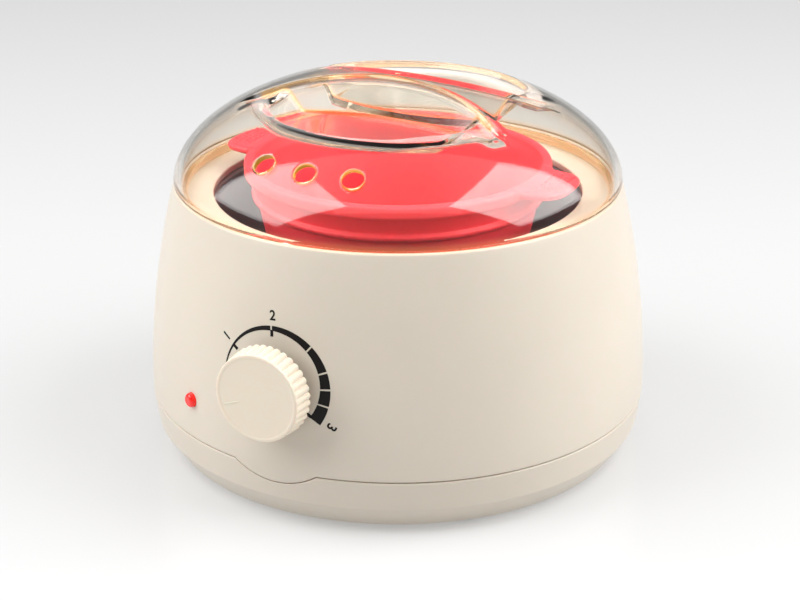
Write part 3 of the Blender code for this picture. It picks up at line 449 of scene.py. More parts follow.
MICA = moulded("mica_sheet", (0.55, 0.46, 0.34), 0.55, 0.06 * MM, 500, 0.75)
SLEEVE = moulded("wire_sleeve", (0.76, 0.73, 0.67), 0.55, 0.03 * MM, 900, 0.93)
RESISTOR = moulded("resistor_lacquer", (0.64, 0.48, 0.30), 0.4, 0.02 * MM, 900, 0.85)
STEEL = metal("plated_steel", (0.60, 0.60, 0.58), 0.32)
BRASS = metal("brass", (0.78, 0.60, 0.28), 0.3)
ALUMINIUM = metal("well_aluminium", (0.36, 0.36, 0.38), 0.42, (40, 40, 900))


def clear_lid():
    surface = Surface("clear_lid", (1.0, 0.985, 0.955), 0.015, Transmission_Weight=1.0, IOR=1.22,
                      Coat_Weight=0.7, Coat_Roughness=0.07)
    surface.vary_roughness(surface.noise(120, 4), 0.01)
    surface.bump(surface.noise(35, 2), 0.02 * MM, 0.3)
    # painted whiteness: less transmission on the recess walls, standing in for light refracted through them
    whiteness_share = surface.tree.nodes.new("ShaderNodeAttribute")
    whiteness_share.attribute_name = "painted_edge_whiteness"
    clear = surface.ranged(whiteness_share.outputs["Fac"], 1, 0.8, 0, 1)
    surface.tree.links.new(clear, surface.shader.inputs["Transmission Weight"])
    # painted glow: amber base colour and amber emission where light runs edge-on through the plastic at
    # vents, grip edges and rim
    glow_share = surface.tree.nodes.new("ShaderNodeAttribute")
    glow_share.attribute_name = "painted_edge_glow"
    surface.vary_color(glow_share.outputs["Fac"], (0.93, 0.52, 0.06))
    surface.shader.inputs["Emission Color"].default_value = (0.80, 0.36, 0.03, 1.0)
    glow = surface.ranged(glow_share.outputs["Fac"], 0, 0.5, 0, 1)
    surface.tree.links.new(glow, surface.shader.inputs["Emission Strength"])
    volume = surface.tree.nodes.new("ShaderNodeVolumeAbsorption")
    volume.inputs["Color"].default_value = (1.0, 0.75, 0.30, 1.0)
    volume.inputs["Density"].default_value = 14.0
    output = surface.tree.nodes["Material Output"]
    surface.tree.links.new(volume.outputs["Volume"], output.inputs["Volume"])
    # lamps shine through to the bowl, as they do through thin clear plastic
    through = surface.tree.nodes.new("ShaderNodeBsdfTransparent")
    through.inputs["Color"].default_value = (0.76, 0.755, 0.74, 1.0)
    path = surface.tree.nodes.new("ShaderNodeLightPath")
    mix = surface.tree.nodes.new("ShaderNodeMixShader")
    surface.tree.links.new(path.outputs["Is Shadow Ray"], mix.inputs["Fac"])
    surface.tree.links.new(surface.shader.outputs["BSDF"], mix.inputs[1])
    surface.tree.links.new(through.outputs["BSDF"], mix.inputs[2])
    surface.tree.links.new(mix.outputs["Shader"], output.inputs["Surface"])
    return surface


def red_lens():
    surface = Surface("red_lens", (0.85, 0.008, 0.004), 0.1, Coat_Weight=0.3, Emission_Strength=0.3)
    surface.shader.inputs["Emission Color"].default_value = (1.0, 0.01, 0.004, 1.0)
    surface.vary_color(surface.ranged(surface.noise(400, 2), 0, 1), (0.75, 0.006, 0.004))
    surface.bump(surface.noise(900, 2), 0.01 * MM, 0.2)
    return surface


CLEAR = clear_lid()
RED = red_lens()


# ---------------------------------------------------------------- outer shape

def body_radius(z):
    if z < SEAM_Z:
        share = (z - FOOT_BAND_Z) / (SEAM_Z - FOOT_BAND_Z)
        return FOOT_BAND_R + (BODY_R - FOOT_BAND_R) * share
    share = min((z - SEAM_Z) / (RIM_Z - SEAM_Z), 1)
    return BODY_R - (BODY_R - RIM_R) * share ** BODY_CURVE


def on_body(x, z, proud=0.0):
    """A point on the front of the body, at its x and z."""
    radius = body_radius(z) + proud
    return Vector((x, -math.sqrt(radius * radius - x * x), z))


def seam_height(azimuth):
    """The parting line is level, except for the arc of the tongue under the knob."""
    x = BODY_R * math.sin(math.radians(azimuth))
    if abs(x) >= TONGUE_R or math.cos(math.radians(azimuth)) < 0:
        return SEAM_Z
    arc = TONGUE_LOW_Z + TONGUE_R - math.sqrt(TONGUE_R ** 2 - x * x)
    return float(smooth_min(arc, SEAM_Z, 0.25 * MM))


FINE_HALF = 14
SEAM_AZIMUTHS = [FINE_HALF + 1.5 * i for i in range(222)] + [347 + i * 0.25 for i in range(4)]
SEAM_AZIMUTHS += [-FINE_HALF + 2 + 0.25 * i for i in range(int(4 * (2 * FINE_HALF - 2)))]
SEAM_AZIMUTHS = sorted(set(round((a + 360) % 360, 4) for a in SEAM_AZIMUTHS))


def housing_outline(azimuth):
    foot = seam_height(azimuth) + GAP / 2
    top = HOUSING_HIGH.z
    deck_low = DECK_Z - DECK_THICK
    corners = [(RIM_R, top, 0.5 * MM)]
    corners += [(body_radius(z), z) for z in between(top, foot, 44)]
    corners += [(body_radius(foot), foot, 0.5 * MM), (body_radius(foot) - WALL, foot, 0.3 * MM)]
    corners += [(body_radius(z) - WALL, z) for z in between(foot, deck_low, 12)]
    corners += [
        (body_radius(deck_low) - WALL, deck_low), (DECK_OPENING_R, deck_low, 0.4 * MM),
        (DECK_OPENING_R, DECK_Z, 0.6 * MM), (RIM_INNER_R, DECK_Z, 0.8 * MM), (RIM_INNER_R, top, 0.5 * MM)]
    return rounded(corners, 5)


def make_housing():
    mesh = shell("housing_shell", SEAM_AZIMUTHS, housing_outline)
    housing = new_piece("housing_shell", mesh, "housing", IVORY.material, ["outer_housing"])
    inside = 82 * MM
    outside = 94 * MM
    cut_with(housing, [
        bar_mesh((0, -inside, KNOB_Z), (0, -outside, KNOB_Z), BUSHING_HOLE_R),
        bar_mesh(around(LAMP_AZIMUTH, inside, LAMP_Z), around(LAMP_AZIMUTH, outside, LAMP_Z),
                 LAMP_R + GAP / 2)])


def base_outline(azimuth):
    top = seam_height(azimuth) - GAP / 2
    corners = [(body_radius(top), top, 0.5 * MM)]
    corners += [(body_radius(z), z) for z in between(top, FOOT_BAND_Z, 8)]
    corners += [
        (FOOT_BAND_R, FOOT_BAND_Z, 1.2 * MM), (UNDERSIDE_R, 0, 1.0 * MM), (30 * MM, 0), (0, 0), (0, WALL),
        (UNDERSIDE_R - 2 * MM, WALL, MM), (FOOT_BAND_R - WALL, FOOT_BAND_Z + MM),
        (body_radius(top) - WALL, top, 0.3 * MM)]
    return rounded(corners, 5)


def make_base():
    mesh = shell("base_shell", SEAM_AZIMUTHS, base_outline)
    base = new_piece("base_shell", mesh, "housing", IVORY.material, ["base_cover"])
    below = -MM
    through = 4 * MM
    pocket = 1.4 * MM
    half = BASE_VENT_WIDTH / 2
    cutters = []
    for i in range(BASE_VENTS):
        turn = (i + 0.5) * 360 / BASE_VENTS
        cutters.append(box_mesh((-half, -BASE_VENT_R[1], below), (half, -BASE_VENT_R[0], through), turn))
    for azimuth in CORNER_AZIMUTHS:
        cutters.append(bar_mesh(around(azimuth, SCREW_RING_R, below),
                                around(azimuth, SCREW_RING_R, through), SCREW_WELL_R))
        cutters.append(bar_mesh(around(azimuth, FOOT_RING_R, below),
                                around(azimuth, FOOT_RING_R, pocket), FOOT_POCKET_R))
    cutters.append(bar_mesh((0, 80 * MM, INLET_Z), (0, 95 * MM, INLET_Z), INLET_R))
    cut_with(base, cutters)


# ---------------------------------------------------------------- well

def make_well():
    top = WELL_HIGH.z
    floor = WELL_LOW.z
    inner_r = 64.5 * MM
    thick = 1.2 * MM
    outer_r = inner_r + thick
    mesh = lathe("well_bucket", [
        (WELL_HIGH.x, top, 0.4 * MM), (WELL_HIGH.x, top - thick, 0.4 * MM), (outer_r, top - thick, MM),
        (outer_r, floor, 10 * MM), (0, floor), (0, floor + thick), (inner_r, floor + thick, 9 * MM),
        (inner_r, top, 1.2 * MM)], 160, 8)
    new_piece("well_bucket", mesh, "housing", ALUMINIUM.material, ["heating_well"])


# ---------------------------------------------------------------- bowl

BOWL_RIM_R = 54.5 * MM
BOWL_FOOT_R = 42.0 * MM
BOWL_NECK_R = 51.8 * MM
BOWL_NECK_RISE = 60.5 * MM
BOWL_CORNER = 8 * MM
BOWL_THICK = 2.4 * MM
COLLAR_Z = 97.4 * MM
LEDGE_Z = (88.2 * MM, 91.2 * MM)
LEDGE_OUT = 1.5 * MM
TAB_HALF = 14.5 * MM
TAB_ROOT = 4 * MM                  # how far a tab reaches in under the rim
TAB_SQUARENESS = 3.2
TAB_Z = (98.8 * MM, 101.4 * MM)
DOT_ROWS = 4
DOT_PITCH = (2.2 * MM, 2.4 * MM)
DOT_R = 0.7 * MM


def bowl_distance(x, y, z):
    """Roughly the distance from the surface of the bowl, negative inside its wall."""
    r = np.hypot(x, y)
    top = BOWL_HIGH.z
    foot = BOWL_LOW.z
    neck = foot + BOWL_NECK_RISE
    share = np.clip((z - foot - BOWL_CORNER) / (neck - foot - BOWL_CORNER), 0, 1.2)
    wall_r = BOWL_FOOT_R + (BOWL_NECK_R - BOWL_FOOT_R) * share
    ledge = smooth_step((z - LEDGE_Z[0]) / MM) * smooth_step((LEDGE_Z[1] - z) / (0.7 * MM))
    corner = smooth_max(r - wall_r - LEDGE_OUT * ledge, foot - z, 9 * MM)
    outside = smooth_max(corner, z - top + 0.5 * MM, 0.8 * MM)
    collar = smooth_max(smooth_max(r - BOWL_RIM_R, COLLAR_Z - z, 1.0 * MM), z - top, 1.6 * MM)
    reach = np.abs(x) - BOWL_RIM_R + TAB_ROOT
    length = BOWL_HIGH.x - BOWL_RIM_R + TAB_ROOT
    square = (np.abs(y) / TAB_HALF) ** TAB_SQUARENESS + np.clip(reach / length, 0, 2) ** TAB_SQUARENESS
    outline = (square ** (1 / TAB_SQUARENESS) - 1) * TAB_HALF
    tab = smooth_max(outline, np.abs(z - sum(TAB_Z) / 2) - (TAB_Z[1] - TAB_Z[0]) / 2, 1.6 * MM)
    tab = smooth_max(tab, BOWL_RIM_R - TAB_ROOT - np.abs(x), MM)
    solid = smooth_min(smooth_min(outside, collar, 0.6 * MM), tab, 2.0 * MM)
    inner_r = wall_r - BOWL_THICK
    inner_r = np.where(z > neck, inner_r + 0.6 * MM * smooth_step((z - neck) / (4 * MM)), inner_r)
    hollow = smooth_max(r - inner_r, foot + BOWL_THICK - z, 8 * MM)
    return smooth_max(solid, -hollow, 0.9 * MM)


def make_bowl():
    margin = Vector((2, 2, 2)) * MM
    mesh = level_surface("bowl", bowl_distance, BOWL_LOW - margin, BOWL_HIGH + margin, 0.8 * MM)
    new_piece("bowl", mesh, "bowl", CORAL.material, ["silicone_bowl"])
    dots = bmesh.new()
    for side in (-1, 1):
        for i in range(DOT_ROWS):
            for k in range(-3, 4):
                place = Vector((side * (57.0 * MM + DOT_PITCH[0] * i), (k + 0.5 * (i % 2)) * DOT_PITCH[1],
                                TAB_Z[1] - 0.15 * MM))
                if abs(place.y) > 8.5 * MM:
                    continue
                made = bmesh.ops.create_uvsphere(dots, u_segments=12, v_segments=8, radius=DOT_R)
                bmesh.ops.translate(dots, vec=place, verts=made["verts"])
    mesh = bpy.data.meshes.new("bowl_tab_dots")
    dots.to_mesh(mesh)
    dots.free()
    mesh.shade_smooth()
    new_piece("bowl_tab_dots", mesh, "bowl", CORAL.material)


# ---------------------------------------------------------------- lid

def dome_distance(r, z, top, foot, reach):
    """Roughly the distance outside a dome that is upright at its foot and level at its top."""
    height = np.clip((z - foot) / (top - foot), 0.0001, None)
    value = height ** (1 / LID_BULGE) + (r / reach) ** LID_RISE - 1
    rise = height ** (1 / LID_BULGE - 1) / LID_BULGE / (top - foot)
    run = LID_RISE * np.maximum(r / reach, 0.0001) ** (LID_RISE - 1) / reach
    return value / np.hypot(rise, run)


def dome_height(r):
    return RIM_Z + (LID_TOP_Z - RIM_Z) * (1 - np.clip(r / RIM_R, 0, 1) ** LID_RISE) ** LID_BULGE


def grip_distance(x, y):
    """Distance outside the arc on the nearer side of the grip; negative in its recess."""
    return np.hypot(x, np.abs(y) - GRIP_HALF - GRIP_ARC_R) - GRIP_ARC_R


def recess_floor(x, y, r):
    """The floor rises slowly towards the rim, and steeply to a ledge at the two ends of the grip."""
    out = np.clip((np.abs(y) - GRIP_HALF) / (RECESS_R - GRIP_HALF), 0, 1)
    scoop = RECESS_FLOOR_Z + RECESS_RISE * out ** 1.5
    ledge = dome_height(r) - RECESS_LEDGE_DROP
    return scoop + (ledge - scoop) * smooth_step((np.abs(x) - RECESS_LEDGE_X) / RECESS_LEDGE_RUN)


def recess_distance(x, y, z, grow):
    """Both finger recesses; grow widens them to leave the lid's wall beneath."""
    r = np.hypot(x, y)
    arc = grip_distance(x, y) - grow
    pinch = RECESS_PINCH * smooth_step((np.abs(x) - 18 * MM) / (14 * MM))
    rim = r - RECESS_R + pinch - grow - 0.2 * (z - 121 * MM)
    floor = recess_floor(x, y, r) - grow - z
    return smooth_max(smooth_max(rim, floor, 3.0 * MM), arc, 0.9 * MM)


def vent_axis(azimuth):
    """A point on the dome at the middle of a vent, and the dome's direction there."""
    low = dome_height(LID_VENT_RING)
    run = Vector((low - dome_height(LID_VENT_RING + MM), MM)).normalized()
    return around(azimuth, LID_VENT_RING, low), around(azimuth, run.x, run.y)


def vent_distance(x, y, z, azimuth):
    """Distance from a vent's axis."""
    spot, normal = vent_axis(azimuth)
    along = (x - spot.x) * normal.x + (y - spot.y) * normal.y + (z - spot.z) * normal.z
    square = (x - spot.x) ** 2 + (y - spot.y) ** 2 + (z - spot.z) ** 2 - along ** 2
    return np.sqrt(np.maximum(square, 0)), np.abs(along)


def lid_distance(x, y, z):
    r = np.hypot(x, y)
    arc = grip_distance(x, y)
    beside = smooth_step((57 * MM - r) / (9 * MM)) * smooth_step((r - 38 * MM) / (6 * MM))
    near = smooth_step((arc + 9 * MM) / (7 * MM))
    dip = 1.8 * MM * beside * near
    step_z = RIM_Z + GAP / 2
    dome = dome_distance(r, z + dip * smooth_step((0.4 * MM - arc) / MM), LID_TOP_Z, RIM_Z, RIM_R)
    upper = smooth_max(dome, step_z - z, 1.1 * MM)
    skirt = smooth_max(smooth_max(r - SKIRT_R, SKIRT_LOW_Z - z, 1.2 * MM), z - step_z - 4 * MM, MM)
    outside = smooth_min(upper, skirt, MM)
    outside = smooth_max(outside, -recess_distance(x, y, z, 0), 1.3 * MM)
    gate = smooth_max(r - GATE_R, z - LID_TOP_Z - GATE_RISE, 0.5 * MM)
    outside = smooth_min(outside, smooth_max(gate, LID_TOP_Z - 2 * MM - z, 0.3 * MM), 0.5 * MM)

    under = z + dip * smooth_step((0.4 * MM + LID_THICK - arc) / MM)
    roof = dome_distance(r, under, LID_TOP_Z - LID_THICK, RIM_Z, RIM_R - LID_THICK - 0.3 * MM)
    throat = r - SKIRT_R + 2.2 * MM
    taper = (throat - 1.5 * (z - step_z + 1.5 * MM)) / math.hypot(1, 1.5)
    hollow = smooth_max(roof, smooth_min(throat, taper, MM), MM)
    hollow = smooth_max(hollow, -recess_distance(x, y, z, LID_THICK), 3.0 * MM)
    solid = smooth_max(outside, -hollow, MM)
    for azimuth in LID_VENT_AZIMUTHS:
        off, along = vent_distance(x, y, z, azimuth)
        hole = smooth_max(off - LID_VENT_R, along - 7 * MM, MM)
        solid = smooth_max(solid, -hole, 0.5 * MM)
    return solid


def painted_edge_glow(x, y, z):
    """Painted amber glow for how far light has come through the plastic at each point: most at vents,
    corners and the rim.
    """
    r = np.hypot(x, y)
    arc = grip_distance(x, y)
    inside = arc < 0.5 * MM
    foot = np.hypot(arc, z - recess_floor(x, y, r)) / MM
    glow_share = np.where(inside & (r < RECESS_R), np.exp(-(foot / 1.1) ** 2), 0) * 0.8
    crest = np.hypot(arc, z - dome_height(r)) / MM
    glow_share = np.maximum(glow_share, 0.7 * np.exp(-(crest / 1.2) ** 2) * smooth_step((50 * MM - r) / (3 * MM)))
    glow_share = np.maximum(glow_share, 0.28 * smooth_step((RIM_Z + 3 * MM - z) / (3 * MM)))
    for azimuth in LID_VENT_AZIMUTHS:
        off, along = vent_distance(x, y, z, azimuth)
        wall = smooth_step((LID_VENT_R + 0.35 * MM - off) / (0.3 * MM)) * (along < 5 * MM)
        glow_share = np.maximum(glow_share, wall)
    return glow_share


def painted_edge_whiteness(x, y, z):
    """Painted whiteness where the plastic is seen edge-on, standing in for light refracted through the walls
    round the recesses.
    """
    r = np.hypot(x, y)
    arc = grip_distance(x, y)
    fade = 1.5 * MM
    wall = smooth_step((r - RECESS_R + 3.5 * MM) / fade) * smooth_step((RECESS_R + 3 * MM - r) / fade)
    wall = wall * smooth_step((2 * MM - arc) / fade)
    ends = smooth_step((2.2 * MM - np.abs(arc)) / MM) * smooth_step((np.abs(x) - 24 * MM) / (8 * MM))
    ends = ends * smooth_step((52 * MM - r) / (3 * MM))
    return np.maximum(wall, ends) * smooth_step((z - 112 * MM) / (2 * MM))


def write_shares(mesh, name, shares):
    mesh.attributes.new(name, "FLOAT", "POINT").data.foreach_set("value", shares.astype(np.float32))


def make_lid():
    margin = Vector((1.5, 1.5, 1.5)) * MM
    mesh = level_surface("lid_dome", lid_distance, LID_LOW - margin, LID_HIGH + margin, 0.6 * MM)
    points = np.empty(3 * len(mesh.vertices), np.float32)
    mesh.vertices.foreach_get("co", points)
    places = points.reshape(-1, 3).T.astype(float)
    # stores the painted edge glow and the painted edge whiteness on the lid's points
    write_shares(mesh, "painted_edge_glow", painted_edge_glow(*places))
    write_shares(mesh, "painted_edge_whiteness", painted_edge_whiteness(*places))
    new_piece("lid_dome", mesh, "lid", CLEAR.material, ["lid"])


# ---------------------------------------------------------------- knob, dial and lamp

def knob_outline(azimuth):
    """The knob's section at an azimuth, in and out with its ribs."""
    depth = KNOB_FACE_Y - KNOB_BACK_Y
    bump = abs(math.sin(math.radians(azimuth) * KNOB_RIBS / 2)) ** 0.8

    def skirt(share):
        """Radius at a share of the way back: ridges that run out at the face's edge."""
        plain = KNOB_FACE_R + (KNOB_SKIRT_R - KNOB_FACE_R) * share
        depth_here = KNOB_RIB_DEPTH * float(smooth_step(share / 0.25)) * (0.75 + 0.25 * share)
        return plain - depth_here * (1 - bump)

    face = KNOB_FACE_Y
    dished = face - 0.15 * MM
    corners = [(0, dished), (9 * MM, dished), (KNOB_FACE_R - 1.5 * MM, face - 0.12 * MM, MM),
               (KNOB_FACE_R - 1.1 * MM, face, 0.4 * MM), (KNOB_FACE_R - 0.1 * MM, face, 0.7 * MM)]
    shares = (0.1, 0.14, 0.18, 0.22, 0.3, 0.45, 0.6, 0.75, 0.9, 0.97)
    corners += [(skirt(share), face - depth * share) for share in shares]
    corners += [(skirt(1) - 0.3 * MM, KNOB_BACK_Y), (KNOB_SKIRT_R - 2.2 * MM, KNOB_BACK_Y),
                (KNOB_FACE_R - 2.0 * MM, KNOB_HOLLOW_Y), (KNOB_BOSS_R, KNOB_HOLLOW_Y),
                (KNOB_BOSS_R, KNOB_BOSS_Y), (KNOB_BORE_R, KNOB_BOSS_Y),
                (KNOB_BORE_R, KNOB_HOLLOW_Y), (0, KNOB_HOLLOW_Y)]
    return rounded(corners, 4)


def make_knob():
    mesh = shell("knob_body", even_azimuths(KNOB_RIBS * 12), knob_outline, closed=False)
    mesh.transform(aimed((0, -1, 0), (0, 0, KNOB_Z)))
    new_piece("knob_body", mesh, "knob", KNOB_IVORY.material, ["knob"])

    pointer = box_mesh((-0.22 * MM, 6.9 * MM, -0.2 * MM), (0.22 * MM, 13.0 * MM, 0.12 * MM))
    pointer.transform(Matrix.Rotation(math.radians(-KNOB_REST_ANGLE), 4, "Z"))
    upright = Matrix.Rotation(math.pi / 2, 4, "X")
    pointer.transform(Matrix.Translation((0, -KNOB_FACE_Y + 0.15 * MM, KNOB_Z)) @ upright)
    obj = new_piece("knob_pointer", pointer, "knob", KNOB_IVORY.material)
    soften(obj, 0.1 * MM)


def soften(obj, width):
    bevel = obj.modifiers.new("Bevel", "BEVEL")
    bevel.width = width
    bevel.segments = 2
    bevel.limit_method = "ANGLE"
    bevel.harden_normals = False


def dial_point(angle, radius, proud):
    """A point on the housing's skin, at an angle clockwise from the top of the dial."""
    x = radius * math.sin(math.radians(angle))
    z = KNOB_Z + radius * math.cos(math.radians(angle))
    return on_body(x, z, proud)


def patch(points_in, points_out, ink=0.05 * MM):
    """Faces of a thin closed strip between two rows of (angle, radius), raised off the housing's skin."""
    rows = [[dial_point(*p, ink) for p in points_in], [dial_point(*p, ink) for p in points_out],
            [dial_point(*p, -ink) for p in points_out], [dial_point(*p, -ink) for p in points_in]]
    count = len(points_in)
    points = [p for row in rows for p in row]
    faces = []
    for row in range(4):
        here = row * count
        there = (row + 1) % 4 * count
        faces += [(here + i, here + i + 1, there + i + 1, there + i) for i in range(count - 1)]
    faces += [(0, count, 2 * count, 3 * count), tuple(count - 1 + k * count for k in (3, 2, 1, 0))]
    return points, faces


BAND_START = -100
BAND_END = 122
BAND_GAPS = (-5.7, 39.7, 67.7, 84.9, 102.2)
BAND_GAP_HALF = 0.9
BAND_TICKS = ((-58, 17.6 * MM), (-5, 16.6 * MM), (BAND_END - 1.6, 13.9 * MM))
TICK_HALF = 0.55 * MM
DIGITS = (("0", -115), ("1", -57.5), ("2", -4.2), ("3", 117.6))
DIGIT_SIZE = 4.6 * MM
DIGIT_RING_R = 23.4 * MM


def band_width(angle):
    """The band widens clockwise, from a thin line to its full width."""
    share = (angle - BAND_START) / (BAND_END - BAND_START)
    return (0.35 + 3.95 * max(share, 0) ** 1.35) * MM


def make_dial():
    points = []
    faces = []

    def add(rows):
        offset = len(points)
        points.extend(rows[0])
        faces.extend([tuple(i + offset for i in face) for face in rows[1]])

    edges = [BAND_START, *[g + s for g in BAND_GAPS for s in (-BAND_GAP_HALF, BAND_GAP_HALF)], BAND_END]
    for start, end in zip(edges[::2], edges[1::2]):
        steps = max(3, int((end - start) / 1.5))
        angles = [start + (end - start) * i / steps for i in range(steps + 1)]
        add(patch([(a, DIAL_OUTER_R - band_width(a)) for a in angles], [(a, DIAL_OUTER_R) for a in angles]))
    for angle, inner in BAND_TICKS:
        outer = DIAL_OUTER_R - band_width(angle) + 0.3 * MM
        rows = []
        for side in (-1, 1):
            rows.append([(angle + math.degrees(side * TICK_HALF / r), r)
                         for r in (inner + (outer - inner) * i / 4 for i in range(5))])
        add(patch(rows[0], rows[1]))
    mesh = mesh_from("dial_band", points, faces)
    new_piece("dial_band", mesh, "housing", PRINT.material)


def make_digits():
    for text, angle in DIGITS:
        curve = bpy.data.curves.new("digit", "FONT")
        curve.body = text
        curve.size = DIGIT_SIZE
        curve.align_x = "CENTER"
        curve.align_y = "CENTER"
        curve.extrude = 0.05 * MM
        curve.offset = 0.09 * MM
        curve.resolution_u = 4
        source = bpy.data.objects.new("digit", curve)
        bpy.context.scene.collection.objects.link(source)
        bpy.context.view_layer.update()
        evaluated = source.evaluated_get(bpy.context.evaluated_depsgraph_get())
        mesh = bpy.data.meshes.new_from_object(evaluated)
        bpy.data.objects.remove(source)
        turn = Matrix.Rotation(math.radians(-angle), 2)
        center = DIGIT_RING_R * Vector((math.sin(math.radians(angle)), math.cos(math.radians(angle))))
        for vert in mesh.vertices:
            flat = turn @ vert.co.xy + center
            vert.co = on_body(flat.x, KNOB_Z + flat.y, vert.co.z)
        new_piece(f"dial_digit_{text}", mesh, "housing", PRINT.material)


def make_lamp():
    length = LAMP_TIP_R - LAMP_BACK_R
    mesh = lathe("lamp_lens", [
        (0, length), (LAMP_R, length, LAMP_R * 0.98), (LAMP_R, LAMP_FLANGE),
        (LAMP_FLANGE_R, LAMP_FLANGE), (LAMP_FLANGE_R, 0), (0, 0)],
        48, 10, closed=False)
    outward = around(LAMP_AZIMUTH, 1, 0)
    mesh.transform(aimed(outward, around(LAMP_AZIMUTH, LAMP_BACK_R, LAMP_Z)))
    new_piece("lamp_lens", mesh, "housing", RED.material, ["indicator_lens"])


# ---------------------------------------------------------------- small hardware

def at_middle(low, high):
    """The matrix that moves a mesh from the origin to the middle of a box, at the same height."""
    return Matrix.Translation(((low + high) / 2).to_2d().to_3d())


def make_foot(i):
    low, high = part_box(f"foot_{i}")
    radius = (high.x - low.x) / 2
    dished = low.z + 0.3 * MM
    mesh = lathe("foot_pad", [
        (0, high.z), (radius, high.z), (radius, low.z, 0.7 * MM), (radius - 1.6 * MM, low.z),
        (radius - 2.0 * MM, dished), (0, dished)], 48, closed=False)
    mesh.transform(at_middle(low, high))
    new_piece(f"foot_pad_{i}", mesh, "housing", RUBBER.material, [f"foot_{i}"])


def make_screw(i, azimuth):
    low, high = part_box(f"base_screw_{i}")
    head = low.z
    seat = head + 2.2 * MM
    shank_r = 1.2 * MM
    head_r = 3.2 * MM
    mesh = lathe("screw", [
        (0, high.z), (0.4 * MM, high.z - 0.8 * MM), (shank_r, high.z - 3 * MM), (shank_r, seat),
        (head_r, seat, 0.2 * MM), (head_r, head + 0.8 * MM, MM), (2.0 * MM, head, 0.5 * MM),
        (0, head)], 40, closed=False)
    mesh.transform(at_middle(low, high))
    screw = new_piece(f"case_screw_{i}", mesh, "housing", STEEL.material, [f"base_screw_{i}"])
    for turn in (0, 90):
        slot = box_mesh((-1.9 * MM, -0.35 * MM, head - MM), (1.9 * MM, 0.35 * MM, head + 1.2 * MM),
                        turn + 20 * i)
        slot.transform(Matrix.Translation(around(azimuth, SCREW_RING_R, 0)))
        cut_with(screw, [slot])


def make_grommet():
    inner = 84.6 * MM
    outer = 90.4 * MM
    neck = 4.0 * MM
    bore = 3.0 * MM
    flange = (GROMMET_HIGH.x - GROMMET_LOW.x) / 2
    mesh = lathe("grommet_ring", [
        (flange, GROMMET_HIGH.y, 0.7 * MM), (flange, outer, 0.2 * MM), (neck, outer), (neck, inner),
        (flange, inner, 0.2 * MM), (flange, GROMMET_LOW.y, 0.6 * MM), (bore, GROMMET_LOW.y, 0.4 * MM),
        (bore, GROMMET_HIGH.y, 0.6 * MM)], 48)
    mesh.transform(aimed((0, 1, 0), (0, 0, INLET_Z)))
    new_piece("grommet_ring", mesh, "housing", RUBBER.material, ["cord_grommet"])


CARRIED = {
    STEEL: ("heater_clamp_band", "clamp_bolt", "clamp_nut", "heat_shield", "thermostat_bracket",
            "bushing_nut", "fuse_clip", "well_screw_1", "well_screw_2", "well_screw_3", "knob_shaft"),
    BRASS: ("thermostat_blade_front", "thermostat_blade_rear", "thermostat_bushing"),
    CERAMIC: ("thermostat_stack", "thermal_fuse"),
    MICA: ("heater_band",),
    GREY_PLASTIC: ("indicator_holder", "terminal_block"),
    RESISTOR: ("indicator_resistor",),
    SLEEVE: ("wire_terminal_to_thermostat", "wire_thermostat_to_fuse", "wire_fuse_to_heater",
             "wire_heater_to_terminal", "wire_terminal_to_lamp"),
}


def dress_carried_nodes():
    for surface, names in CARRIED.items():
        for name in names:
            NODES[name].data.materials.clear()
            NODES[name].data.materials.append(surface.material)


# ---------------------------------------------------------------- floor, light and camera

FLOOR_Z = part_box("foot_1")[0].z
CAMERA_AZIMUTH = 27.5
CAMERA_RANGE = 637.2 * MM
CAMERA_HEIGHT = 308.6 * MM
CAMERA_DOWN = 22.30                # degrees below level
CAMERA_LENS = 84.76
CAMERA_SHIFT = 0.0025
SOFTBOX_TURN = 82                  # degrees to either side of the camera
SOFTBOX = (40, 1.1, 0.95, 1.05)    # degrees up, distance, width, height
OVERHEAD = (84, 1.2, 1.3, 1.3)


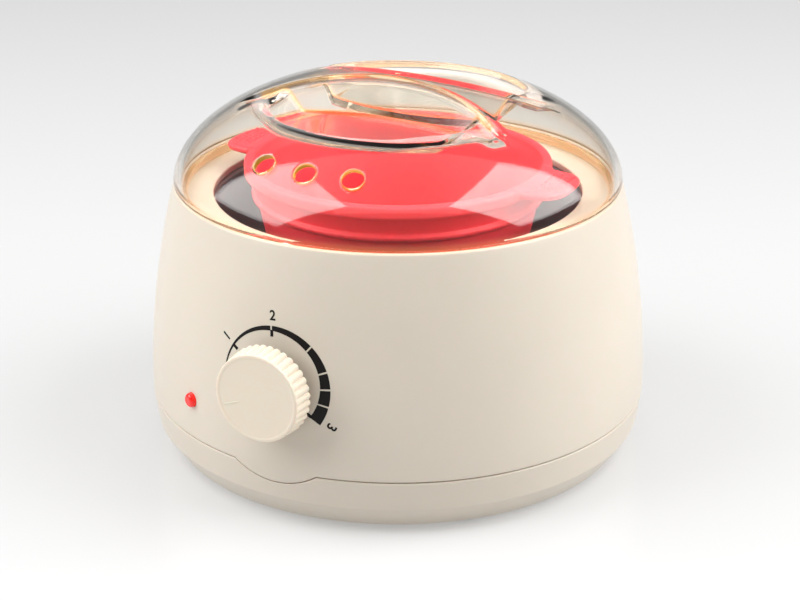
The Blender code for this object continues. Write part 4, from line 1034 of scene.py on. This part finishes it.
def make_floor():
    mesh = bpy.data.meshes.new("studio_floor")
    bm = bmesh.new()
    bmesh.ops.create_grid(bm, x_segments=2, y_segments=2, size=6.0)
    bm.to_mesh(mesh)
    bm.free()
    floor = bpy.data.objects.new("studio_floor", mesh)
    bpy.context.scene.collection.objects.link(floor)
    floor.location.z = FLOOR_Z
    surface = Surface("studio_floor", (0.42, 0.42, 0.42), 0.2, IOR=1.45, Emission_Strength=0.30)
    surface.shader.inputs["Emission Color"].default_value = (1.0, 1.0, 1.0, 1.0)
    surface.vary_roughness(surface.noise(3, 2), 0.01)
    mesh.materials.append(surface.material)


def area_light(name, azimuth, elevation, distance, width, height, power):
    light = bpy.data.lights.new(name, "AREA")
    light.shape = "RECTANGLE"
    light.size = width
    light.size_y = height
    light.energy = power
    obj = bpy.data.objects.new(name, light)
    bpy.context.scene.collection.objects.link(obj)
    lift = math.radians(elevation)
    target = Vector((0, 0, 80 * MM))
    obj.location = target + around(azimuth, distance * math.cos(lift), distance * math.sin(lift))
    obj.rotation_euler = (target - obj.location).to_track_quat("-Z", "Y").to_euler()
    return obj


def make_light():
    world = bpy.data.worlds.new("studio")
    world.use_nodes = True
    background = world.node_tree.nodes["Background"]
    background.inputs["Color"].default_value = (1.0, 1.0, 1.0, 1.0)
    background.inputs["Strength"].default_value = 0.28
    bpy.context.scene.world = world
    area_light("softbox_left", CAMERA_AZIMUTH - SOFTBOX_TURN, *SOFTBOX, 13.5)
    area_light("softbox_right", CAMERA_AZIMUTH + SOFTBOX_TURN, *SOFTBOX, 15.5)
    overhead = area_light("overhead", CAMERA_AZIMUTH, *OVERHEAD, 6.5)
    overhead.visible_glossy = False


def make_camera():
    data = bpy.data.cameras.new("camera")
    data.lens = CAMERA_LENS
    data.sensor_width = 36.0
    data.shift_x = CAMERA_SHIFT
    camera = bpy.data.objects.new("camera", data)
    bpy.context.scene.collection.objects.link(camera)
    camera.location = around(CAMERA_AZIMUTH, CAMERA_RANGE, CAMERA_HEIGHT)
    camera.rotation_euler = (math.radians(90 - CAMERA_DOWN), 0.0, math.radians(CAMERA_AZIMUTH))
    bpy.context.scene.camera = camera
    bpy.context.scene.view_settings.view_transform = "Standard"


make_housing()
make_base()
make_well()
make_bowl()
make_lid()
make_knob()
make_dial()
make_digits()
make_lamp()
for number, corner in enumerate(CORNER_AZIMUTHS, 1):
    make_foot(number)
    make_screw(number, corner)
make_grommet()
dress_carried_nodes()
make_floor()
make_light()
make_camera()
